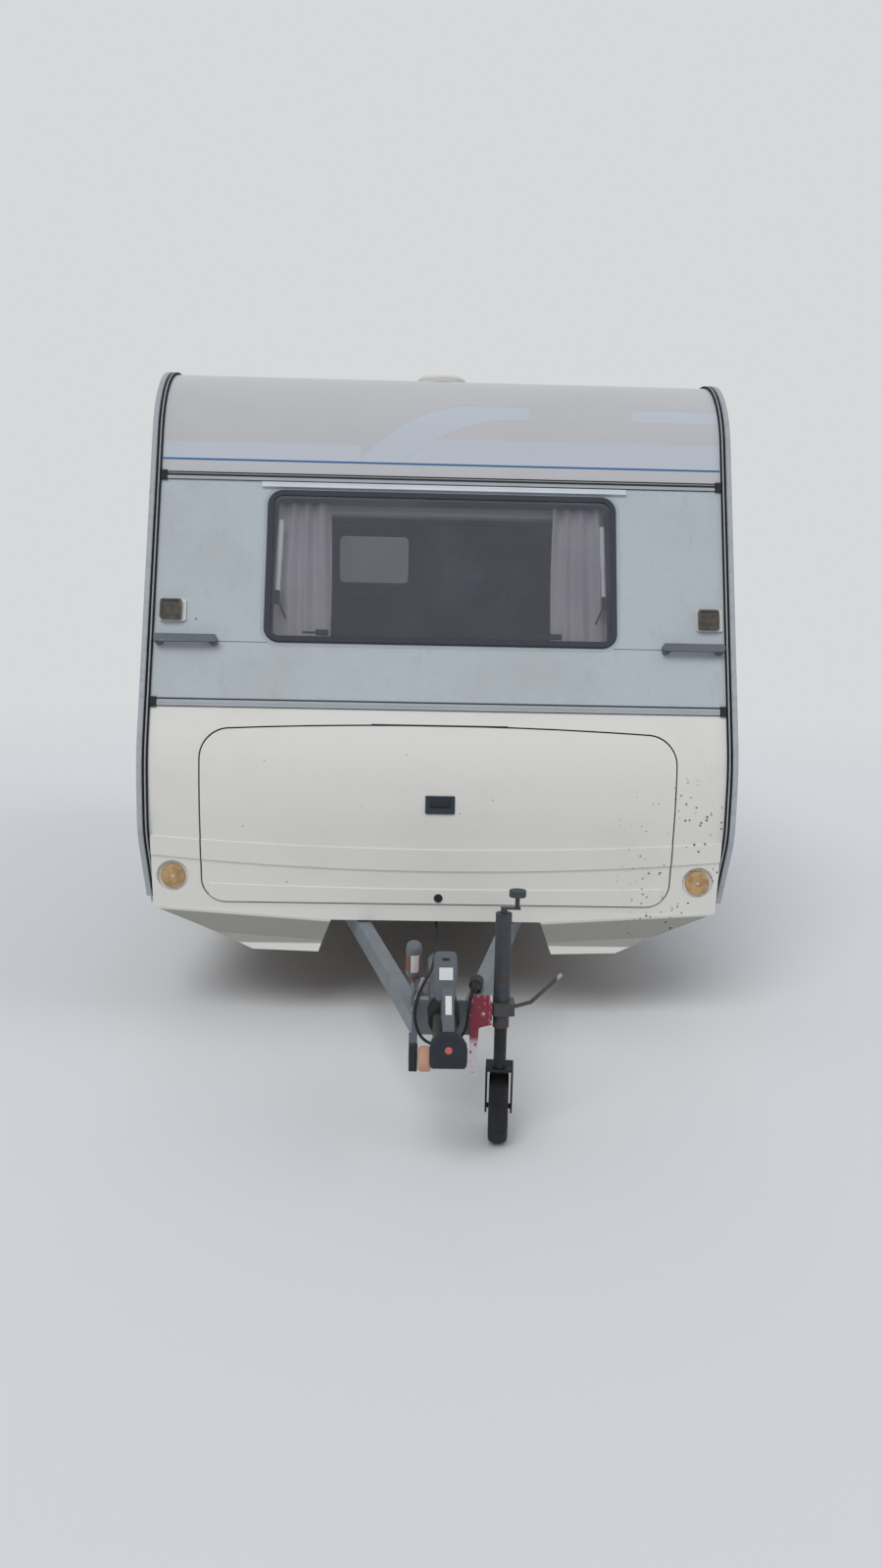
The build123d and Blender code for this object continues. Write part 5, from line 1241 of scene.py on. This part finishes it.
def makeVents():  # two louvred vents in the right side
    mesh = bmesh.new()
    shade = bmesh.new()
    for z, tall in (vent["low"], vent["high"]):
        at = onSide(1, vent["y"], z, vent["out"])
        outer = softRectangle(0.474, tall - 0.006, 0.008)
        addRing(mesh, at, outer, softRectangle(0.424, tall - 0.050, 0.004), 0.003)
        addBlock(shade, at, (0.428, tall - 0.046, 0.0012), (0, 0, 0.0003))
        rows = round((tall - 0.054) / vent["slatStep"])
        for row in range(rows):
            slat = at @ Matrix.Translation((0, (row - (rows - 1) / 2) * vent["slatStep"], 0.0028))
            tilted = slat @ Matrix.Rotation(math.radians(vent["tilt"]), 4, "X")
            addBlock(mesh, tilted, (0.426, 0.0115, 0.0018), bevel=0.0005, segments=1)
        for x in (-vent["barX"], vent["barX"]):
            addBlock(mesh, at, (0.006, tall - 0.048, 0.0040), (x, 0, 0.0025), 0.0008, 1)
    finishPiece("ventLouvres", mesh, "whitePlastic")
    finishPiece("ventShade", shade, "blackPlastic")


def makeHatchLocks():
    lock = {"y": 2.752, "z": (0.670, 0.850), "out": 0.0105, "radius": 0.0135}
    mesh = bmesh.new()
    for z in lock["z"]:
        at = onSide(-1, lock["y"], z, lock["out"])
        addRod(mesh, lock["radius"], (0, 0, 0), (0, 0, 0.003), 28, at)
        addBlock(mesh, at, (0.004, 0.018, 0.003), (0, 0, 0.004), 0.0008, 1)
    finishPiece("hatchLocks", mesh, "blackPlastic", rides="service_hatch")


def makeVentCatches():
    mesh = bmesh.new()
    for x in (-vent["catchX"], vent["catchX"]):
        at = onSide(1, vent["y"] + x, vent["catchZ"], vent["out"])
        addBlock(mesh, at, (0.012, 0.007, 0.003), (0, 0, 0.0042), 0.0008, 1)
    finishPiece("ventCatches", mesh, "blackPlastic")


def makeSkylightRibs():
    ribs = {"number": 5, "step": 0.085, "size": (0.40, 0.010, 0.006)}
    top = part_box("skylight_lid")[1].z
    middle = middleOf("skylight_lid")
    mesh = bmesh.new()
    for step in range(ribs["number"]):
        y = middle.y + (step - (ribs["number"] - 1) / 2) * ribs["step"]
        addBlock(mesh, Matrix.Translation((middle.x, y, top)), ribs["size"], bevel=0.002)
    finishPiece("skylightRibs", mesh, "whitePlastic", rides="skylight_lid")


def makeHookRail():  # inside the rear wall, below the window
    rail = {"left": -0.585, "right": -0.215, "y": 2.792, "z": 1.700, "radius": 0.007, "wallY": 2.905,
            "hook": 0.004, "hooks": (0.25, 0.5, 0.75)}
    y, z = rail["y"], rail["z"]
    mesh = bmesh.new()
    addRod(mesh, rail["radius"], (rail["left"], y, z), (rail["right"], y, z), 16)
    for x in (rail["left"], rail["right"]):
        addRod(mesh, rail["radius"], (x, y - 0.004, z), (x, rail["wallY"], z), 16)
    for share in rail["hooks"]:
        x = rail["left"] + share * (rail["right"] - rail["left"])
        addRod(mesh, rail["hook"], (x, y, z), (x, y, z - 0.045), 12)
        addRod(mesh, rail["hook"], (x, y, z - 0.043), (x, y - 0.026, z - 0.036), 12)
    finishPiece("hookRail", mesh, "paleTrim")


makeVents()
makeHatchLocks()
makeVentCatches()
makeSkylightRibs()
makeHookRail()
print("fittings made")


# Floor, backdrop and light
def makeFloor():
    mesh = bmesh.new()
    bmesh.ops.create_grid(mesh, x_segments=1, y_segments=1, size=30)
    data = bpy.data.meshes.new("studioFloor")
    mesh.to_mesh(data)
    mesh.free()
    data.materials.append(floorFinish())
    ground = bpy.data.objects.new("studioFloor", data)
    scene.collection.objects.link(ground)


def makeBackdrop():  # a plain colour for the eye, and another for the light it gives
    studio = {"backdrop": tint(214, 216, 218), "fill": 0.50, "dome": tint(226, 232, 240)}
    world = bpy.data.worlds.new("studio")
    world.use_nodes = True
    scene.world = world
    tree = world.node_tree
    dome = tree.nodes["Background"]
    dome.inputs["Color"].default_value = studio["dome"]
    dome.inputs["Strength"].default_value = studio["fill"]
    plain = tree.nodes.new("ShaderNodeBackground")
    plain.inputs["Color"].default_value = studio["backdrop"]
    plain.inputs["Strength"].default_value = 1.0
    path = tree.nodes.new("ShaderNodeLightPath")
    seen = path.outputs["Is Camera Ray"]
    for ray in ("Is Glossy Ray", "Is Transmission Ray"):
        both = tree.nodes.new("ShaderNodeMath")
        both.operation = "ADD"
        both.use_clamp = True
        tree.links.new(seen, both.inputs[0])
        tree.links.new(path.outputs[ray], both.inputs[1])
        seen = both.outputs[0]
    mix = tree.nodes.new("ShaderNodeMixShader")
    tree.links.new(seen, mix.inputs[0])
    tree.links.new(dome.outputs[0], mix.inputs[1])
    tree.links.new(plain.outputs[0], mix.inputs[2])
    tree.links.new(mix.outputs[0], tree.nodes["World Output"].inputs["Surface"])


def makeSuns():
    suns = {  # place, spread in degrees, power
        "keySun": ((-3.0, -8.0, 9.0), 34, 1.55),
        "sideSun": ((8.0, -2.0, 7.0), 40, 0.35),
        "backSun": ((0.0, 8.0, 7.0), 40, 0.30),
    }
    for name, (place, spread, power) in suns.items():
        light = bpy.data.lights.new(name, "SUN")
        light.angle = math.radians(spread)
        light.energy = power
        holder = bpy.data.objects.new(name, light)
        holder.visible_glossy = False
        scene.collection.objects.link(holder)
        aim = -Vector(place)
        holder.matrix_world = Matrix.Translation(place) @ aim.to_track_quat("-Z", "Y").to_matrix().to_4x4()


makeFloor()
makeBackdrop()
makeSuns()
